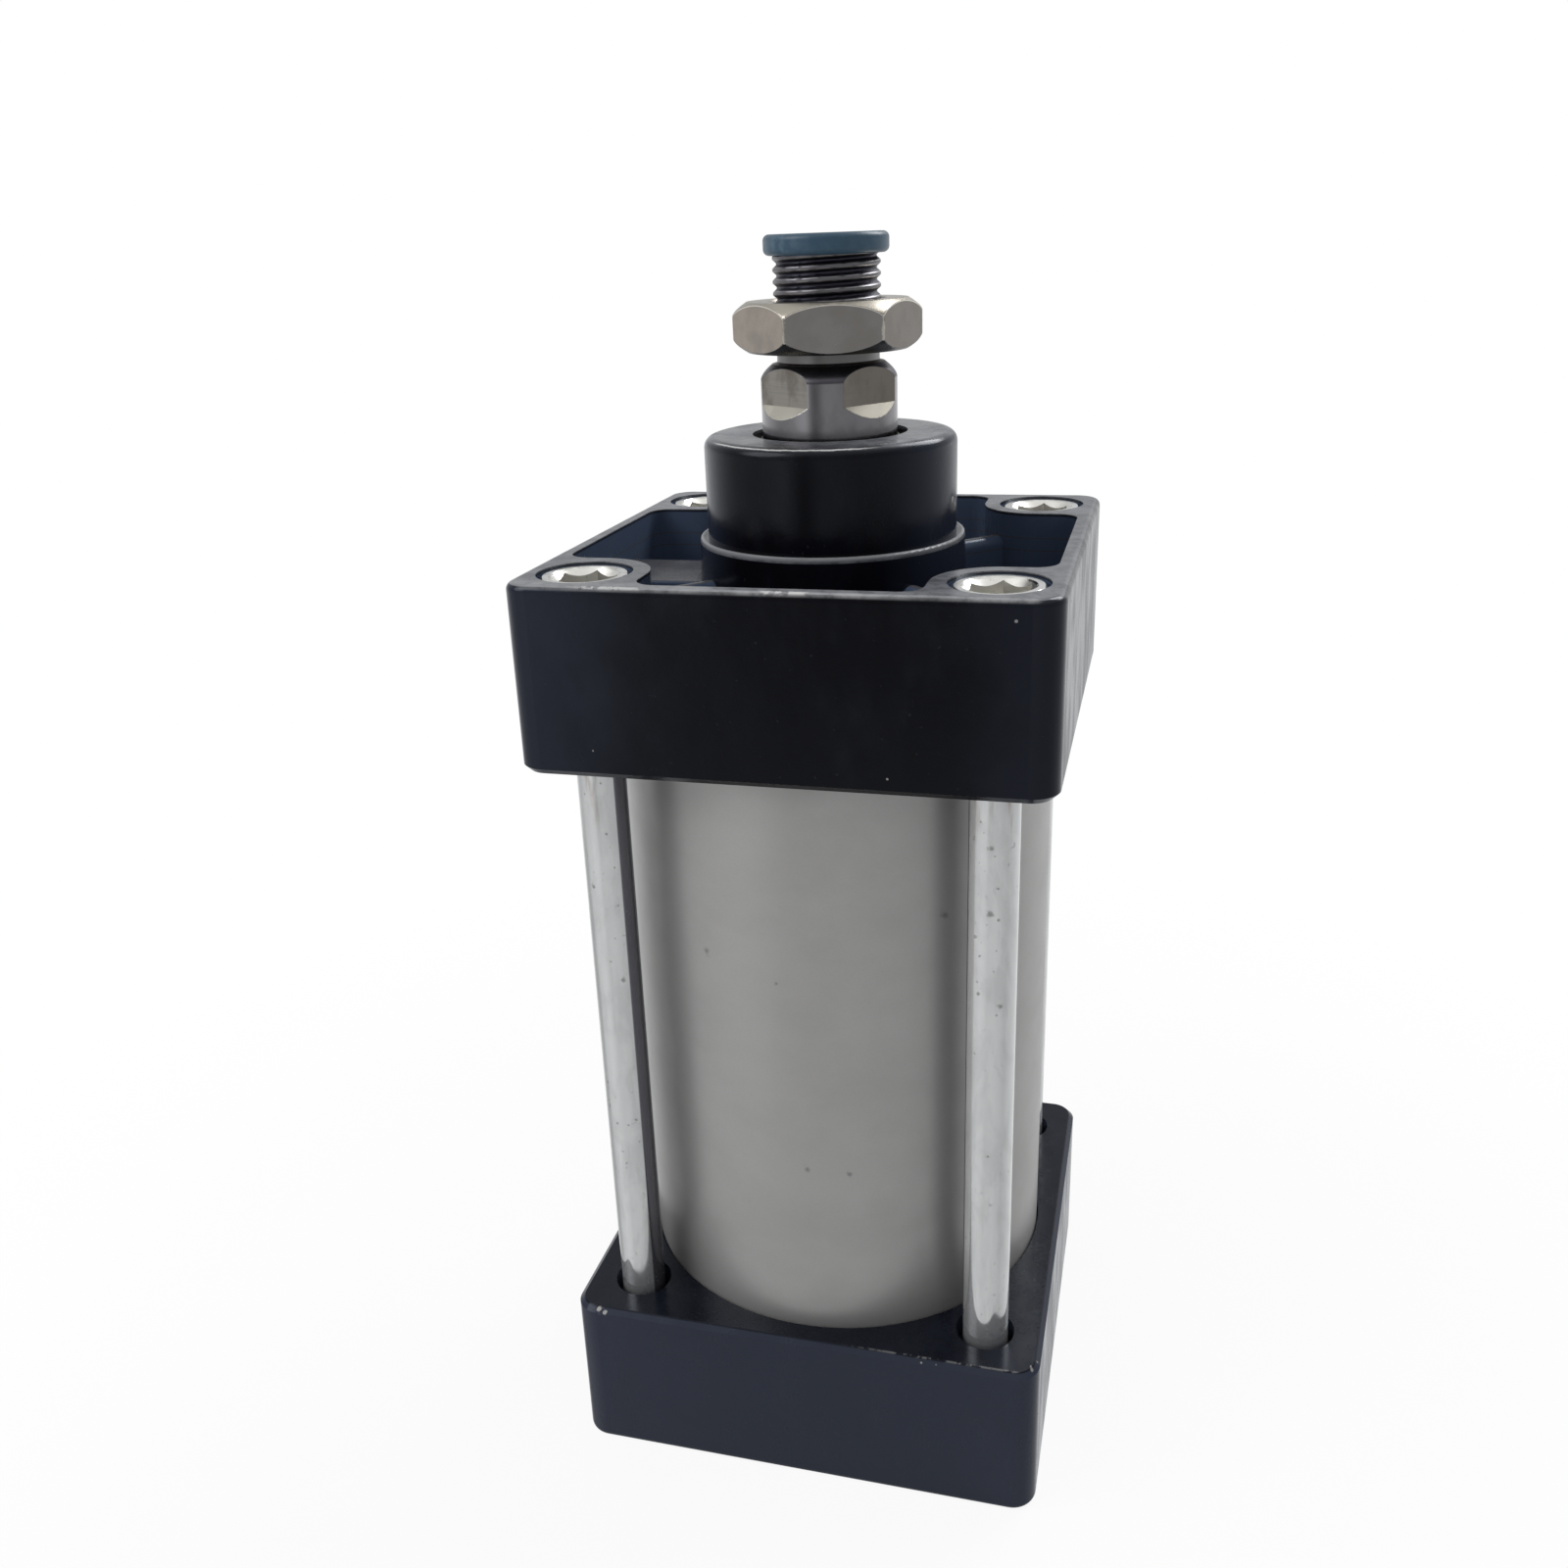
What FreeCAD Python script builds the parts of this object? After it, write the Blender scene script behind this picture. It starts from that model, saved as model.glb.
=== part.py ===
import FreeCAD, Part
import math
import os

# Square-cover tie-rod air cylinder with adjustable air cushions, in millimetres.
# Z is the cylinder's axis. Z = 0 is the outer face of the rear cover, the rod points up
# and is drawn in. The ports are on the -X faces and the cushion screws on the +Y faces.

vector = FreeCAD.Vector
up = vector(0, 0, 1)

# Bore and stroke
bore = 80.0
stroke = 75.0

# Barrel
tube_wall = 2.5
tube_seat = 3.0
gasket_section = 2.3

# Tie rods and their socket nuts
tie_diameter = 9.0
tie_barrel_gap = 3.9
tie_edge = 11.5
tie_thread_diameter = 10.0
tie_thread_length = 16.0
tie_end_chamfer = 1.0
tie_hole_gap = 0.75
tie_grip = 10.0
tie_nut_diameter = 16.0
tie_nut_gap = 0.5
tie_nut_length = 24.0
tie_nut_drop = 0.4
tie_nut_chamfer = 0.6
tie_socket = 10.0
tie_socket_depth = 5.0
tie_socket_lead = 12.6
mounting_thread_radius = 4.25

# Covers
cover_length = 34.0
cover_corner = 5.0
cover_outer_round = 1.4
cover_inner_chamfer = 1.1
rim_wall = 3.1
pocket_depth = 19.0
pocket_round = 4.0
pocket_floor_round = 2.0
corner_boss_radius = 11.5
rib_thickness = 4.0
rib_round = 1.9
rib_drop = 5.0
spigot_length = 8.0
spigot_chamfer = 1.0

# Centre boss of the front cover and the shorter hub of the rear cover
boss_diameter = 47.0
boss_height = 19.3
boss_round = 2.0
hub_diameter = 50.0
hub_draft = 1.0
hub_lip = 0.8
hub_edge_round = 0.35
rear_hub_drop = 2.0

# Air ports
port_radius = 7.63
port_depth = 13.0
port_boss_width = 19.0
port_boss_round = 0.6
port_spot_radius = 11.0
port_spot_depth = 0.5
passage_radius = 4.0
passage_mouth = 0.7

# Cushion screws
needle_radius = 3.95
needle_length = 12.5
needle_drop = 0.5
needle_chamfer = 0.5
needle_stem_radius = 2.0
needle_stem_length = 4.5
needle_tip_length = 2.5
needle_tip_radius = 0.4
needle_boss_radius = 7.0
needle_slot_width = 1.2
needle_slot_depth = 2.0
needle_ring_inset = 2.5
needle_ring_section = 1.0
bleed_radius = 1.5
bleed_mouth = 0.6

# Piston rod, its heights counted from the top of the boss
rod_diameter = 25.0
rod_flat_depth = 1.5
rod_corner_angle = 10.0
flat_start = 3.2
flat_slope = 2.3
flat_shoulder_gap = 0.6
shoulder_end = 12.8
shoulder_rise = 2.9
shoulder_radius = 9.9
neck_diameter = 18.7
neck_length = 1.8
thread_diameter = 20.0
thread_length = 20.5
thread_chamfer = 1.5
spigot_diameter = 16.0
spigot_tail = 2.0
rod_end_chamfer = 1.2

# Lock nut and thread cap
lock_nut_width = 30.0
lock_nut_height = 8.7
lock_nut_lift = 1.8
lock_nut_angle = 17.0
nut_face_inset = 0.4
nut_corner_share = 0.982
nut_chamfer_angle = 30.0
cap_wall = 1.15
cap_grip = 2.4
cap_top_wall = 1.0
cap_end_gap = 0.2
cap_round = 1.1

# Piston
piston_radial_gap = 0.5
packing_width = 4.2
packing_depth = 5.1
packing_inset = 2.3
packing_relief = 0.5
packing_lip = 0.6
packing_lip_length = 2.0
packing_notch = 2.2
packing_bevel = 1.0
piston_land = 1.5
wear_ring_width = 7.8
wear_ring_thickness = 2.2
magnet_width = 5.6
magnet_thickness = 6.1
magnet_depth = 3.7
piston_nut_width = 24.0
piston_nut_height = 8.0
piston_ring_section = 2.0

# Cushions
cushion_diameter = 32.0
cushion_length = 15.0
cushion_taper = 1.5
cushion_cavity_gap = 1.5
cushion_seal_width = 3.8
cushion_seal_height = 3.35
cushion_seal_inset = 1.6
cushion_seal_bevel = 1.0

# Rod guide
bush_wall = 2.0
web_thickness = 2.0
rod_packing_width = 6.1
rod_packing_depth = 4.4
rod_packing_lip = 0.9
rod_packing_base = 2.4
rod_packing_relief = 0.3
rod_packing_bevel = 1.0
rod_packing_contact = 1.6
wiper_width = 4.8
wiper_depth = 3.9
wiper_neck = 1.8
wiper_recess = 0.8
wiper_mouth = 3.0
wiper_relief = 0.4
wiper_flange = 0.7
wiper_lip = 0.3
wiper_lip_foot = 0.9

# Clearances
end_clearance = 0.5
running_gap = 0.03
seal_gap = 0.05
groove_gap = 0.2
thread_gap = 0.1
rod_bore_gap = 0.4
spigot_gap = 0.1
tube_seat_gap = 0.3
cavity_end_gap = 1.5

# How far a cutting body runs past the face that it cuts
overrun = 1.0

# Worked out radii and places across the axis
bore_radius = bore / 2
tube_radius = bore_radius + tube_wall
spigot_radius = bore_radius - spigot_gap
rod_radius = rod_diameter / 2
boss_radius = boss_diameter / 2
hub_radius = hub_diameter / 2
piston_radius = bore_radius - piston_radial_gap
magnet_outer = bore_radius - magnet_depth
magnet_inner = magnet_outer - magnet_thickness
cushion_radius = cushion_diameter / 2
cavity_radius = cushion_radius + cushion_cavity_gap
tail_radius = spigot_diameter / 2
thread_radius = thread_diameter / 2
tie_nut_hole_radius = tie_nut_diameter / 2 + tie_nut_gap
tie_circle = tube_radius + tie_barrel_gap + tie_diameter / 2
tie_spacing = round(tie_circle * math.sqrt(2), 1)
tie_offset = tie_spacing / 2
tie_centres = [(x, y) for x in (-tie_offset, tie_offset) for y in (-tie_offset, tie_offset)]
cover_square = tie_spacing + 2 * tie_edge
cover_half = cover_square / 2

# Worked out heights along the axis
packing_groove = packing_width + 2 * groove_gap
wear_ring_groove = wear_ring_width + 2 * groove_gap
piston_thickness = 2 * (packing_inset + packing_groove + piston_land) + wear_ring_groove
tube_gap = stroke + piston_thickness + 2 * end_clearance + 2 * spigot_length
rear_inner = cover_length
front_inner = rear_inner + tube_gap
front_plane = front_inner + cover_length
boss_top = front_plane + boss_height
piston_rear = rear_inner + spigot_length + end_clearance
piston_front = piston_rear + piston_thickness
piston_middle = (piston_rear + piston_front) / 2
thread_start = boss_top + shoulder_end
thread_end = thread_start + thread_length
rod_shoulder = piston_front + cushion_length
rod_tail = piston_rear - cushion_length - piston_nut_height - spigot_tail

# Worked out places inside one cover, counted from its inner face towards its outer face
pocket_floor = cover_length - pocket_depth
port_level = cover_length / 2
nut_seat = cover_length - tie_nut_drop - tie_nut_length
front_cavity_depth = cushion_length + cavity_end_gap - end_clearance
rear_cavity_depth = front_cavity_depth + piston_nut_height + spigot_tail


def cylinder(radius, low, high, x=0.0, y=0.0):
    return Part.makeCylinder(radius, high - low, vector(x, y, low), up)


def ring(inner, outer, low, high):
    return cylinder(outer, low, high).cut(cylinder(inner, low - overrun, high + overrun))


def turned(points):
    """Solid of revolution about Z from (radius, height) corners."""
    corners = [vector(radius, 0, height) for radius, height in points]
    profile = Part.Face(Part.makePolygon(corners + corners[:1]))
    return profile.revolve(vector(0, 0, 0), up, 360)


def torus(middle_radius, section, height):
    return Part.makeTorus(middle_radius, section / 2, vector(0, 0, height), up)


def hexagon(width, low, high, angle=0.0, x=0.0, y=0.0):
    """Hexagonal prism with one flat facing the given angle."""
    corner_radius = width / math.sqrt(3)
    corners = []
    for step in range(7):
        turn = math.radians(angle + 30 + 60 * step)
        corners.append(vector(x + corner_radius * math.cos(turn), y + corner_radius * math.sin(turn), low))
    return Part.Face(Part.makePolygon(corners)).extrude(vector(0, 0, high - low))


def rod_between(start, end, radius):
    """Round bar from one point to another."""
    along = end - start
    return Part.makeCylinder(radius, along.Length, start, along)


def edges_at_height(shape, height):
    return [edge for edge in shape.Edges if all(abs(v.Point.z - height) < 0.001 for v in edge.Vertexes)]


def upright_edges(shape, keep):
    """Edges parallel to Z whose plan position passes the keep test."""
    chosen = []
    for edge in shape.Edges:
        ends = [v.Point for v in edge.Vertexes]
        if len(ends) == 2 and math.hypot(ends[0].x - ends[1].x, ends[0].y - ends[1].y) < 0.001:
            if keep(ends[0].x, ends[0].y):
                chosen.append(edge)
    return chosen


def square_block(side, low, high, radius):
    block = Part.makeBox(side, side, high - low, vector(-side / 2, -side / 2, low))
    return block.makeFillet(radius, upright_edges(block, lambda x, y: True))


def four_times(make):
    """The same solid at each tie rod, as one group of separate solids."""
    return Part.makeCompound([make(x, y) for x, y in tie_centres])


# Covers

def cover_blank():
    block = square_block(cover_square, 0, cover_length, cover_corner)
    block = block.makeFillet(cover_outer_round, edges_at_height(block, cover_length))
    return block.makeChamfer(cover_inner_chamfer, edges_at_height(block, 0))


def corner_keep(x, y):
    """Metal left round one tie rod, out to the cover's corner."""
    low, high = pocket_floor - overrun, cover_length + overrun
    corner_x, corner_y = math.copysign(cover_half, x), math.copysign(cover_half, y)
    beside_x = x - math.copysign(corner_boss_radius, x)
    beside_y = y - math.copysign(corner_boss_radius, y)
    post = cylinder(corner_boss_radius, low, high, x, y)
    for inner_x, inner_y in ((beside_x, y), (x, beside_y)):
        start = vector(min(inner_x, corner_x), min(inner_y, corner_y), low)
        post = post.fuse(Part.makeBox(abs(corner_x - inner_x), abs(corner_y - inner_y), high - low, start))
    return post


def pocket():
    """Hollow of the outer face, before the hub, the ribs and the port boss are left standing."""
    inside = cover_square - 2 * rim_wall
    top = cover_length + overrun
    hollow = Part.makeBox(inside, inside, top - pocket_floor, vector(-inside / 2, -inside / 2, pocket_floor))
    for x, y in tie_centres:
        hollow = hollow.cut(corner_keep(x, y))
    hollow = hollow.removeSplitter()
    wall = inside / 2
    meets_wall = upright_edges(hollow, lambda x, y: abs(max(abs(x), abs(y)) - wall) < 0.01)
    hollow = hollow.makeFillet(pocket_round, meets_wall)
    return hollow.makeFillet(pocket_floor_round, edges_at_height(hollow, pocket_floor))


def diagonal_ribs():
    """Two bars across the corners, with rounded top edges, running from tie rod to tie rod."""
    reach = tie_offset * math.sqrt(2)
    foot = pocket_floor - pocket_floor_round
    top = cover_length - rib_drop
    bar = Part.makeBox(2 * reach, rib_thickness, top - foot, vector(-reach, -rib_thickness / 2, foot))
    long_edges = [edge for edge in edges_at_height(bar, top) if edge.Length > rib_thickness + overrun]
    bar = bar.makeFillet(rib_round, long_edges)
    ribs = []
    for angle in (45, 135):
        rib = bar.copy()
        rib.rotate(vector(0, 0, 0), up, angle)
        ribs.append(rib)
    return ribs


def hub(top):
    """Drafted round hub in the middle of the pocket."""
    foot = pocket_floor - pocket_floor_round
    return Part.makeCone(hub_radius + hub_draft, hub_radius, top - foot, vector(0, 0, foot), up)


def left_standing(hub_top):
    half = port_boss_width / 2
    port_boss = Part.makeBox(cover_half - overrun, port_boss_width, port_boss_width,
                             vector(-cover_half + overrun, -half, port_level - half))
    top_edges = edges_at_height(port_boss, port_level + half)
    port_boss = port_boss.makeFillet(port_boss_round,
                                     [edge for edge in top_edges if edge.Length > port_boss_width + overrun])
    needle_boss = rod_between(vector(0, cover_half - overrun, port_level), vector(0, 0, port_level),
                              needle_boss_radius)
    solid = hub(hub_top)
    for piece in [port_boss, needle_boss] + diagonal_ribs():
        solid = solid.fuse(piece)
    return solid


def tube_end_cuts():
    """Groove that seats the barrel, and the gasket groove of the spigot."""
    seat = ring(spigot_radius, tube_radius + tube_seat_gap, -overrun, tube_seat)
    gasket_half = gasket_section / 2 + groove_gap
    gasket_middle = -spigot_length / 2
    groove = ring(spigot_radius - gasket_section - seal_gap, spigot_radius + overrun,
                  gasket_middle - gasket_half, gasket_middle + gasket_half)
    return seat.fuse(groove)


def spigot():
    root = pocket_floor / 2
    return turned([(0, -spigot_length), (spigot_radius - spigot_chamfer, -spigot_length),
                   (spigot_radius, -spigot_length + spigot_chamfer), (spigot_radius, root), (0, root)])


def cushion_cavity(depth):
    """Round chamber that the cushion sleeve enters, with the groove of its seal."""
    mouth = -spigot_length
    groove_low = mouth + cushion_seal_inset
    groove_high = groove_low + cushion_seal_width + groove_gap
    cavity = cylinder(cavity_radius, mouth - overrun, mouth + depth)
    return cavity.fuse(cylinder(cushion_radius + seal_gap + cushion_seal_height + groove_gap / 2,
                                groove_low, groove_high))


def port_cuts(cavity_depth):
    """Threaded port on the -X face, its spot face and the passage down to the cushion cavity."""
    face = vector(-cover_half - overrun, 0, port_level)
    spot = vector(-cover_half + port_spot_depth, 0, port_level)
    bottom = vector(-cover_half + port_depth, 0, port_level)
    mouth = vector(-cavity_radius + passage_radius / 2, 0, -spigot_length + cavity_depth * passage_mouth)
    cuts = rod_between(face, bottom, port_radius)
    cuts = cuts.fuse(rod_between(face, spot, port_spot_radius))
    return cuts.fuse(rod_between(bottom - vector(passage_radius, 0, 0), mouth, passage_radius))


def needle_places():
    """Y positions along the cushion screw, from its outer end inwards."""
    outer = cover_half - needle_drop
    step = outer - needle_length
    stem = step - needle_stem_length
    return outer, step, stem, stem - needle_tip_length


def needle_cuts(cavity_depth):
    """Bore of the cushion screw on the +Y face and the bleed holes that it throttles."""
    outer, step, stem, tip = needle_places()
    bleed_y = (step + stem) / 2
    inside = vector(0, tip - bleed_radius, port_level)
    mouth = vector(0, cavity_radius - bleed_radius, -spigot_length + cavity_depth * bleed_mouth)
    cuts = rod_between(vector(0, outer + 2 * overrun, port_level), vector(0, step - groove_gap, port_level),
                       needle_radius + seal_gap)
    cuts = cuts.fuse(rod_between(vector(0, step, port_level), vector(0, tip, port_level),
                                 needle_stem_radius + 2 * groove_gap))
    cuts = cuts.fuse(rod_between(vector(0, tip + overrun, port_level), inside, bleed_radius))
    cuts = cuts.fuse(rod_between(inside + vector(0, 0, bleed_radius / 2), mouth, bleed_radius))
    return cuts.fuse(rod_between(vector(0, bleed_y, -spigot_length - overrun),
                                 vector(0, bleed_y, port_level), bleed_radius))


def tie_cuts():
    cuts = []
    for x, y in tie_centres:
        cuts.append(cylinder(tie_thread_diameter / 2 + tie_hole_gap, -overrun, cover_length, x, y))
        cuts.append(cylinder(tie_nut_hole_radius, nut_seat, cover_length + overrun, x, y))
    return cuts


def cast_cover(hub_top, cavity_depth):
    """What both covers share, with the inner face at Z = 0 and the outer face above it."""
    body = cover_blank().cut(pocket().cut(left_standing(hub_top)))
    if hub_top > cover_length:
        lip = cylinder(hub_radius, cover_length - overrun, hub_top)
        body = body.fuse(lip.makeFillet(hub_edge_round, edges_at_height(lip, hub_top)))
    body = body.fuse(spigot())
    for cut in [tube_end_cuts(), cushion_cavity(cavity_depth), port_cuts(cavity_depth),
                needle_cuts(cavity_depth)] + tie_cuts():
        body = body.cut(cut)
    return body


def front_levels():
    """Heights of the rod guide inside the front cover, from its inner face."""
    mouth_low = cover_length + boss_height - wiper_mouth
    wiper_low = mouth_low - wiper_width - groove_gap
    packing_high = wiper_low - web_thickness
    packing_low = packing_high - rod_packing_width - 2 * groove_gap
    bush_high = packing_low - web_thickness
    bush_low = front_cavity_depth - spigot_length + web_thickness
    return bush_low, bush_high, packing_low, packing_high, wiper_low, mouth_low


def front_cover():
    top = cover_length + boss_height
    boss = cylinder(boss_radius, cover_length - overrun, top)
    boss = boss.makeFillet(boss_round, edges_at_height(boss, top))
    body = cast_cover(cover_length + hub_lip, front_cavity_depth).fuse(boss)
    bush_low, bush_high, packing_low, packing_high, wiper_low, mouth_low = front_levels()
    steps = [(rod_radius + rod_bore_gap, -spigot_length, top + overrun),
             (rod_radius + running_gap + bush_wall, bush_low, bush_high),
             (rod_radius + rod_packing_depth + 2 * seal_gap, packing_low, packing_high),
             (rod_radius + wiper_depth + 2 * seal_gap, wiper_low, mouth_low),
             (rod_radius + wiper_neck + 2 * seal_gap, mouth_low - overrun, top + overrun)]
    for radius, low, high in steps:
        body = body.cut(cylinder(radius, low, high))
    body = body.removeSplitter()
    body.translate(vector(0, 0, front_inner))
    return body


def turn_to_rear(shape):
    """Mirror a piece made for the front cover's frame to the rear cover's place."""
    flipped = shape.mirror(vector(0, 0, 0), up)
    flipped.translate(vector(0, 0, rear_inner))
    return flipped


def rear_cover():
    return turn_to_rear(cast_cover(cover_length - rear_hub_drop, rear_cavity_depth).removeSplitter())


# Barrel, tie rods and nuts

def cylinder_tube():
    low, high = rear_inner - tube_seat, front_inner + tube_seat
    return ring(bore_radius, tube_radius, low, high)


def tie_rod(x, y):
    nut_low, nut_high = rear_inner - nut_seat, front_inner + nut_seat
    low, high = nut_low - tie_grip, nut_high + tie_grip
    lead = tie_end_chamfer
    thread = tie_thread_diameter / 2
    shank = tie_diameter / 2
    bar = turned([(0, low), (thread - lead, low), (thread, low + lead), (thread, low + tie_thread_length),
                  (shank, low + tie_thread_length + lead), (shank, high - tie_thread_length - lead),
                  (thread, high - tie_thread_length), (thread, high - lead), (thread - lead, high), (0, high)])
    bar.translate(vector(x, y, 0))
    return bar


def socket_nut(x, y):
    """Round nut: the tie rod's thread at its foot, the mounting thread above and a hexagon socket."""
    low, high = nut_seat, nut_seat + tie_nut_length
    step = low + tie_grip + overrun
    outside = tie_nut_diameter / 2
    inside = tie_thread_diameter / 2 + thread_gap
    lead = tie_socket_lead / 2
    nut = turned([(inside, low), (outside - tie_nut_chamfer, low), (outside, low + tie_nut_chamfer),
                  (outside, high - tie_nut_chamfer), (outside - tie_nut_chamfer, high),
                  (lead, high), (mounting_thread_radius, high - lead + mounting_thread_radius),
                  (mounting_thread_radius, step), (inside, step)])
    nut.translate(vector(x, y, 0))
    return nut.cut(hexagon(tie_socket, high - tie_socket_depth, high + overrun, 0, x, y))


def front_tie_rod_nuts():
    nuts = four_times(socket_nut)
    nuts.translate(vector(0, 0, front_inner))
    return nuts


def rear_tie_rod_nuts():
    return turn_to_rear(four_times(socket_nut))


# Seals of the covers, made in the front cover's frame

def tube_gasket():
    return torus(spigot_radius - gasket_section / 2, gasket_section, -spigot_length / 2)


def cushion_seal():
    """Ring with a lip that closes on the cushion sleeve."""
    low = -spigot_length + cushion_seal_inset + groove_gap / 2
    high = low + cushion_seal_width
    inside = cushion_radius + seal_gap
    outside = inside + cushion_seal_height
    bevel = cushion_seal_bevel
    return turned([(inside + bevel, low), (outside, low), (outside, high), (inside + bevel, high),
                   (inside, high - bevel), (inside, low + bevel)])


def moved_to_front(shape):
    shape.translate(vector(0, 0, front_inner))
    return shape


# Rod guide

def rod_bush():
    bush_low, bush_high = front_levels()[:2]
    inside = rod_radius + running_gap
    return moved_to_front(ring(inside, inside + bush_wall, bush_low, bush_high))


def rod_packing():
    """U-shaped packing, open towards the pressure."""
    low = front_levels()[2] + groove_gap
    high = low + rod_packing_width
    inside = rod_radius + seal_gap
    outside = inside + rod_packing_depth
    back = inside + rod_packing_relief
    return moved_to_front(turned([(back, low), (inside + rod_packing_lip, low),
                                  ((inside + outside) / 2, high - rod_packing_base),
                                  (outside - rod_packing_lip, low), (outside, low), (outside, high),
                                  (back, high), (back, low + rod_packing_contact + rod_packing_bevel),
                                  (inside, low + rod_packing_contact)]))


def rod_wiper():
    """Scraper ring snapped into the mouth of the boss."""
    wiper_low, mouth_low = front_levels()[4:]
    low = wiper_low + groove_gap / 2
    shelf = mouth_low - groove_gap / 2
    top = cover_length + boss_height - wiper_recess
    flange = top - wiper_flange
    inside = rod_radius + seal_gap
    back = inside + wiper_relief
    return moved_to_front(turned([(back, low), (inside + wiper_depth, low), (inside + wiper_depth, shelf),
                                  (inside + wiper_neck, shelf), (inside + wiper_neck, flange),
                                  (inside + wiper_lip_foot, flange), (inside + wiper_lip, top),
                                  (inside, top), (back, shelf - overrun)]))


# Cushion screws

def needle():
    """Cushion screw along Y with a screwdriver slot and a tapered tip."""
    outer, step, stem, tip = needle_places()
    groove_outer = outer - needle_ring_inset
    groove_inner = groove_outer - needle_ring_section - 2 * groove_gap
    groove_radius = needle_radius - needle_ring_section
    body = turned([(0, tip), (needle_tip_radius, tip), (needle_stem_radius, stem), (needle_stem_radius, step),
                   (needle_radius, step), (needle_radius, groove_inner), (groove_radius, groove_inner),
                   (groove_radius, groove_outer), (needle_radius, groove_outer),
                   (needle_radius, outer - needle_chamfer), (needle_radius - needle_chamfer, outer),
                   (0, outer)])
    reach = needle_radius + overrun
    slot = Part.makeBox(2 * reach, needle_slot_width, needle_slot_depth + overrun,
                        vector(-reach, -needle_slot_width / 2, outer - needle_slot_depth))
    return lay_along_y(body.cut(slot))


def needle_o_ring():
    middle = needle_places()[0] - needle_ring_inset - groove_gap - needle_ring_section / 2
    return lay_along_y(torus(needle_radius - needle_ring_section / 2, needle_ring_section - seal_gap, middle))


def lay_along_y(shape):
    """Turn a piece made along Z so that it points along Y, at the height of the ports."""
    shape.rotate(vector(0, 0, 0), vector(1, 0, 0), -90)
    shape.translate(vector(0, 0, port_level))
    return shape


# Piston rod and what it carries

def wrench_flats():
    """Material outside the four flats, with a sloped end below each one."""
    low = boss_top + flat_start + flat_slope
    high = thread_start - flat_shoulder_gap
    reach = rod_radius + overrun
    depth = rod_radius - rod_flat_depth
    corners = [vector(depth, 0, high), vector(reach, 0, high), vector(reach, 0, low - reach + depth),
               vector(depth, 0, low)]
    cuts = []
    for quarter in range(4):
        cut = Part.Face(Part.makePolygon(corners + corners[:1])).extrude(vector(0, 2 * reach, 0))
        cut.translate(vector(0, -reach, 0))
        cut.rotate(vector(0, 0, 0), up, rod_corner_angle + 45 + 90 * quarter)
        cuts.append(cut)
    return cuts


def piston_rod():
    lead = rod_end_chamfer
    neck = neck_diameter / 2
    neck_end = thread_start + neck_length
    bar = turned([(0, rod_tail), (tail_radius - lead, rod_tail), (tail_radius, rod_tail + lead),
                  (tail_radius, rod_shoulder), (rod_radius, rod_shoulder),
                  (rod_radius, thread_start - shoulder_rise), (shoulder_radius, thread_start),
                  (neck, thread_start), (neck, neck_end), (thread_radius, neck_end + thread_radius - neck),
                  (thread_radius, thread_end - thread_chamfer),
                  (thread_radius - thread_chamfer, thread_end), (0, thread_end)])
    for cut in wrench_flats():
        bar = bar.cut(cut)
    return bar


def chamfered_hexagon(width, low, high, inside, angle):
    """Hexagon nut with both faces chamfered and a plain bore."""
    corner = nut_corner_share * width / math.sqrt(3)
    face = width / 2 - nut_face_inset
    drop = (corner - face) * math.tan(math.radians(nut_chamfer_angle))
    envelope = turned([(inside, low), (face, low), (corner, low + drop), (corner, high - drop),
                       (face, high), (inside, high)])
    return envelope.common(hexagon(width, low, high, angle))


def lock_nut():
    low = thread_start + lock_nut_lift
    return chamfered_hexagon(lock_nut_width, low, low + lock_nut_height,
                             thread_radius + seal_gap, lock_nut_angle - 90)


def piston_nut():
    high = piston_rear - cushion_length
    return chamfered_hexagon(piston_nut_width, high - piston_nut_height, high, tail_radius + thread_gap, 0)


def thread_cap():
    """Push-on cap that protects the end of the rod's thread."""
    low = thread_end - cap_grip
    inside = thread_radius + thread_gap
    outside = inside + cap_wall
    ceiling = thread_end + cap_end_gap
    top = ceiling + cap_top_wall
    cap = cylinder(outside, low, top)
    cap = cap.makeFillet(cap_round, edges_at_height(cap, top) + edges_at_height(cap, low))
    return cap.cut(cylinder(inside, low - overrun, ceiling))


def cushion_sleeve(fixed_end, free_end):
    """Sleeve that plugs the cover's cavity at the end of a stroke, tapered at its free end."""
    lean = math.copysign(cushion_taper * 2, fixed_end - free_end)
    inside = tail_radius + thread_gap
    return turned([(inside, fixed_end), (cushion_radius, fixed_end), (cushion_radius, free_end + lean),
                   (cushion_radius - cushion_taper / 2, free_end), (inside, free_end)])


def front_cushion_sleeve():
    return cushion_sleeve(piston_front, rod_shoulder)


def rear_cushion_sleeve():
    return cushion_sleeve(piston_rear, piston_rear - cushion_length)


# Piston

def packing_levels():
    rear_low = piston_rear + packing_inset
    front_high = piston_front - packing_inset
    return (rear_low, rear_low + packing_groove), (front_high - packing_groove, front_high)


def piston_ring_level():
    return (piston_middle + magnet_width / 2 + piston_front) / 2


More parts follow.
